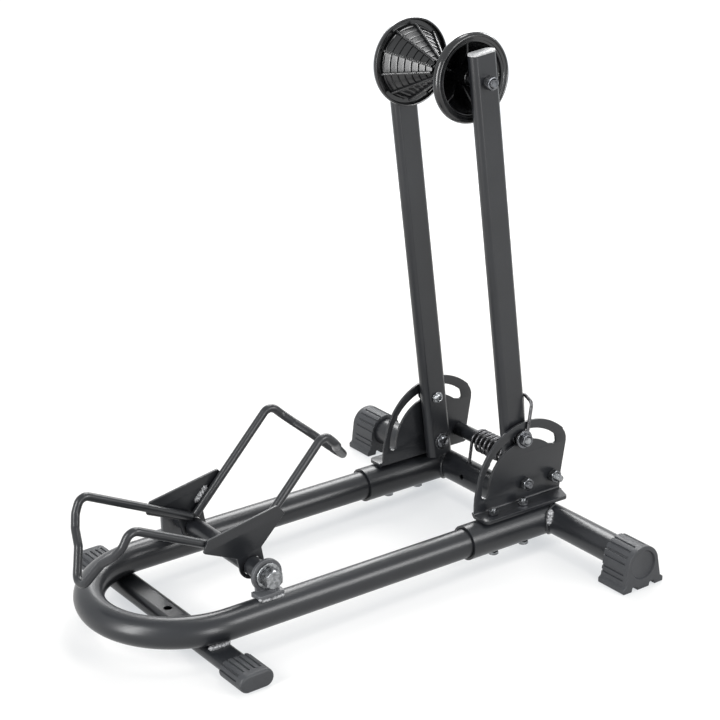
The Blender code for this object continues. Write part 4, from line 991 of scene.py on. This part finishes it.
def roller_shell(side):
    """One closed skin of a roller: cone with steps and ribs, groove, lip, dish, hub and bore.

    Between ribs a cone ring is radius * (0.6 + 0.4 * cos(half a sector) / cos(angle off its
    middle)) + step, and on a rib it is radius + a domed rise + the hatch's rise where a
    diagonal saw of x and width is high. A rib keeps its width in millimetres, so its angles
    shrink as the radius grows.
    """
    share, tooth = np.array([((band + u) / BANDS, lift) for band in range(BANDS)
                             for u, lift in TOOTH] + [(1.0, -0.3)]).T
    x = (TIP_X + (BASE_X - TIP_X) * share)[:, None]
    radius = TIP_R + (BASE_R - TIP_R) * share[:, None]
    sector = 2 * math.pi / RIBS
    over = np.linspace(-1.0, 1.0, 5)[None]
    top = over * RIB_TOP / radius
    edge = RIB_FOOT / radius
    gap = edge + (sector - 2 * edge) * np.linspace(0.0, 1.0, 20)[None]
    flat = 0.6 + 0.4 * math.cos(sector / 2) / np.cos(gap - sector / 2)
    hatch = np.mod((x + 0.8 * top * radius) / HATCH_PITCH, 1.0)
    dome = RIB_RISE - 0.0007 * over ** 2
    one = np.concatenate([radius + dome + HATCH_RISE * (hatch > 0.5),
                          radius * flat + STEP_RISE * tooth[:, None]], 1)
    one[0] = radius[0]
    turns = np.arange(RIBS)[None, :, None] * sector + math.radians(5)
    angle = (np.concatenate([top, gap], 1)[:, None] + turns).reshape(len(x), -1)
    rest = np.array(RIM + DISH)
    wide = (len(rest), angle.shape[1])
    x = np.concatenate([np.broadcast_to(x, angle.shape), np.broadcast_to(rest[:, :1], wide)])
    radius = np.concatenate([np.tile(one, RIBS), np.broadcast_to(rest[:, 1:], wide)])
    angle = np.concatenate([angle, np.broadcast_to(angle[-1], wide)])
    return skin(np.stack([side * x, radius * np.cos(angle), radius * np.sin(angle)], -1), True)


def roller_web(turn, side):
    """A radial web in the dish: a thin plate from hub to cone that dips from rim to hub."""
    outline = eased([(0.0140, 0.0080, 0), (0.0340, 0.0080, 0.004), (0.0488, 0.0262, 0.004),
                     (0.0500, 0.0358, 0.0), (0.0480, 0.0362, 0.0), (0.0140, 0.0135, 0)], 4)
    web = plate([outline * (side, 1)], -0.0009, 0.0009, 0.0005)
    web.transform(Matrix.Rotation(math.radians(turn), 4, "X"))
    return web


gloss, shader, place = new_finish("gloss_moulding", Specular_IOR_Level=0.55)
flow = place.noise(60.0, 3.0)
fine = place.noise(1700.0, 2.0)
shade = flow.between(0.3, 0.7).tint((0.005, 0.0053, 0.0058), (0.011, 0.0115, 0.0125))
feed(shader, Base_Color=shade, Roughness=0.14 + 0.10 * flow + 0.04 * fine,
     Normal=flow.bump(0.0002, 0.3))

axle = ARM @ Matrix.Translation((0.0, 0.0, AXLE_Z))
for side, word in SIDES:
    webs = [roller_web(30 + 60 * index, side) for index in range(6)]
    finish_node(f"{word}_roller", f"roller_{word}", "gloss_plastic", gloss, roller_shell(side),
                *webs, place=axle, sharp=28)
    finish_node(f"{word}_roller_spacer", "arms", "black_oxide", black_zinc,
                ring_part(0.0065, M8_HOLE, HUB_END + GAP, ARM_IN - GAP, EDGE, side), place=axle)


# The roller axle: one long screw through both arms and both rollers, its hexagon head on the
# left and its nut on the right.
face = ARM_OUT + GAP
finish_node("axle_bolt", "arms", "black_oxide", black_zinc,
            hex_nut(M8_ACROSS, face, face + 0.0055, 0.0003, 12, -1),
            stock(M8_SHANK, -face - 0.001, 0.078), thread(M8, 0.0778, face + 0.011, M8_PITCH),
            place=axle)
finish_node("axle_nut", "arms", "black_oxide", black_zinc,
            hex_nut(M8_ACROSS, face, face + 0.0078, M8_HOLE, 8), place=axle)


# The cradle's ears: round-topped brackets welded to the legs on their saddles, under a thin coat
# painted much lighter than the tubes' coat, a painted reflection of the light on their flat
# faces. A large hexagon bolt and a washer on each hold the cradle's pivot tube.
CRADLE_Y = -0.3575
CRADLE_Z = 0.0342
EAR_IN = 0.083
EAR_OUT = 0.087
EAR_ROUND = 0.0172
EAR_LOW = 0.0125
EAR_FOOT_X = 0.0995
EAR_FOOT_Z = 0.020
EAR_HOLE = 0.0064
M12_ACROSS = 0.019
# The ears' coat colour is much lighter than the tubes' coat: a painted reflection.
ear_coat_painted_reflection = coated("thin_powder_coat_painted_reflection", (0.024, 0.0255, 0.029), (0.17, 0.175, 0.185), 0.30)

for side, word in SIDES:
    spot = FRAME @ Matrix.Translation((0.0, CRADLE_Y, 0.0))
    front, lip = (-0.0128, -0.0178) if side > 0 else (-0.0228, -0.0245)
    outline = [[(front, EAR_LOW), (0.0126, EAR_LOW)],
               around((0.0, CRADLE_Z), EAR_ROUND, -40, 112, 40)]
    if side > 0:
        outline.append(around((0.0, CRADLE_Z), EAR_ROUND, 114, 218, 30))
    else:
        outline.append(around((front + 0.007, CRADLE_Z + 0.005), 0.007, 110, 180, 10))
    ear = plate([np.concatenate(outline), around((0.0, CRADLE_Z), EAR_HOLE, 0, 360, 40)],
                *on_side(side, EAR_IN, EAR_OUT), 0.0004)
    ear.transform(TURN_Z_TO_X)
    foot = eased([(EAR_IN + 0.0006, lip, 0.0), (EAR_FOOT_X, lip, 0.003),
                  (EAR_FOOT_X, 0.0124, 0.003), (EAR_IN + 0.0006, 0.0124, 0.0)])
    foot[:, 0] *= side
    foot = plate([foot], 0.0145, EAR_FOOT_Z, 0.0006)
    saddle = peg(TUBE + 0.0005, -0.03, 0.03, (side * LEG_X, 0.0, 0.0), "Y", 60)
    ear = cut(outward(ear), saddle.copy())
    foot = cut(outward(foot), saddle)
    finish_node(f"{word}_ear", "base", "powder_coat", ear_coat_painted_reflection, ear, foot, place=spot)
    seam = [(side * x, y, z) for x, y, z in (
        (0.0975, lip - 0.0006, 0.0168), (0.1002, lip + 0.004, 0.0152), (0.1005, 0.0, 0.0150),
        (0.1002, 0.0110, 0.0152))]
    add_weld(f"{word}_ear_weld", "base", seam, 0.0015, spot)
    spot = FRAME @ Matrix.Translation((0.0, CRADLE_Y, CRADLE_Z))
    low = EAR_OUT + GAP
    finish_node(f"{word}_ear_washer", "base", "black_oxide", zinc,
                ring_part(0.0138, EAR_HOLE, low, low + 0.0025, 0.0005, side), place=spot)
    low += 0.0028
    finish_node(f"{word}_ear_bolt", "base", "black_oxide", zinc,
                hex_nut(M12_ACROSS, low, low + 0.0105, 0.0004, 30, side),
                stock(0.006, 0.060, low + 0.001, side), place=spot)


# The cradle: two hoops of bent rod welded to fan-shaped plates on a pivot tube. It rocks on
# the ear bolts, and the wheel rolls over one hoop and is held by the other.
CRADLE_LEAN = math.radians(10.1)
CRADLE = FRAME @ Matrix.Translation((0.0, CRADLE_Y, CRADLE_Z)) @ Matrix.Rotation(
    CRADLE_LEAN, 4, "X")
ROD = 0.0045
HOOP_X = 0.0512
HOOP_ANGLE = math.radians(35.8)
HOOP_REACH = 0.1495
HOOP_DIP = -0.0755
FAN_IN = 0.056

for end, word in ((-1, "front"), (1, "rear")):
    along = np.array((0.0, end * math.cos(HOOP_ANGLE), math.sin(HOOP_ANGLE)))
    above = np.array((0.0, -end * math.sin(HOOP_ANGLE), math.cos(HOOP_ANGLE)))
    near = along * 0.0115 + above * 0.011
    half = [(HOOP_X, *near[1:], 0.0)]
    for x, high, bend in ((HOOP_X, 0.011, 0.010), (0.049, -0.008, 0.014),
                          (0.0405, -0.021, 0.014), (0.0245, -0.034, 0.012)):
        half.append((x, *(along * HOOP_REACH + above * high)[1:], bend))
    bottom = (*(along * HOOP_REACH + above * HOOP_DIP), 0.012)
    corners = half + [bottom] + [(-corner[0], *corner[1:]) for corner in half[::-1]]
    path = closely(bent(corners, 10), 0.005)
    finish_node(f"{word}_hoop", "cradle", "powder_coat", powder,
                skin(carried(path, circle(ROD, 24))), place=CRADLE)

wing = [(0.0418, 0.0500, 0.0015), (-0.0418, 0.0500, 0.0015), (-0.0490, 0.0383, 0.002),
        (-0.0146, 0.0148, 0.0015)]
lobe = [(y, z, 0.0) for y, z in around((0.0, 0.0), 0.0145, 186, 354, 40)]
wing_outline = eased(wing + lobe + [(0.0146, 0.0148, 0.0015), (0.0490, 0.0383, 0.002)], 8)
for side, word in SIDES:
    fan = plate([wing_outline, around((0.0, 0.0), 0.0104, 0, 360, 48)],
                *on_side(side, FAN_IN, FAN_IN + 0.003), 0.0005)
    fan.transform(TURN_Z_TO_X)
    finish_node(f"{word}_cradle_plate", "cradle", "powder_coat", powder, fan, place=CRADLE)
    seam = [(side * (FAN_IN - 0.001), *(along * reach + above * 0.0172)[1:])
            for reach in (0.021, 0.043)]
    add_weld(f"{word}_hoop_weld", "cradle", seam, 0.0024, CRADLE)
finish_node("cradle_pivot_tube", "cradle", "powder_coat", powder,
            ring_part(0.010, 0.0065, -0.0827, 0.0827, 0.0004), place=CRADLE)
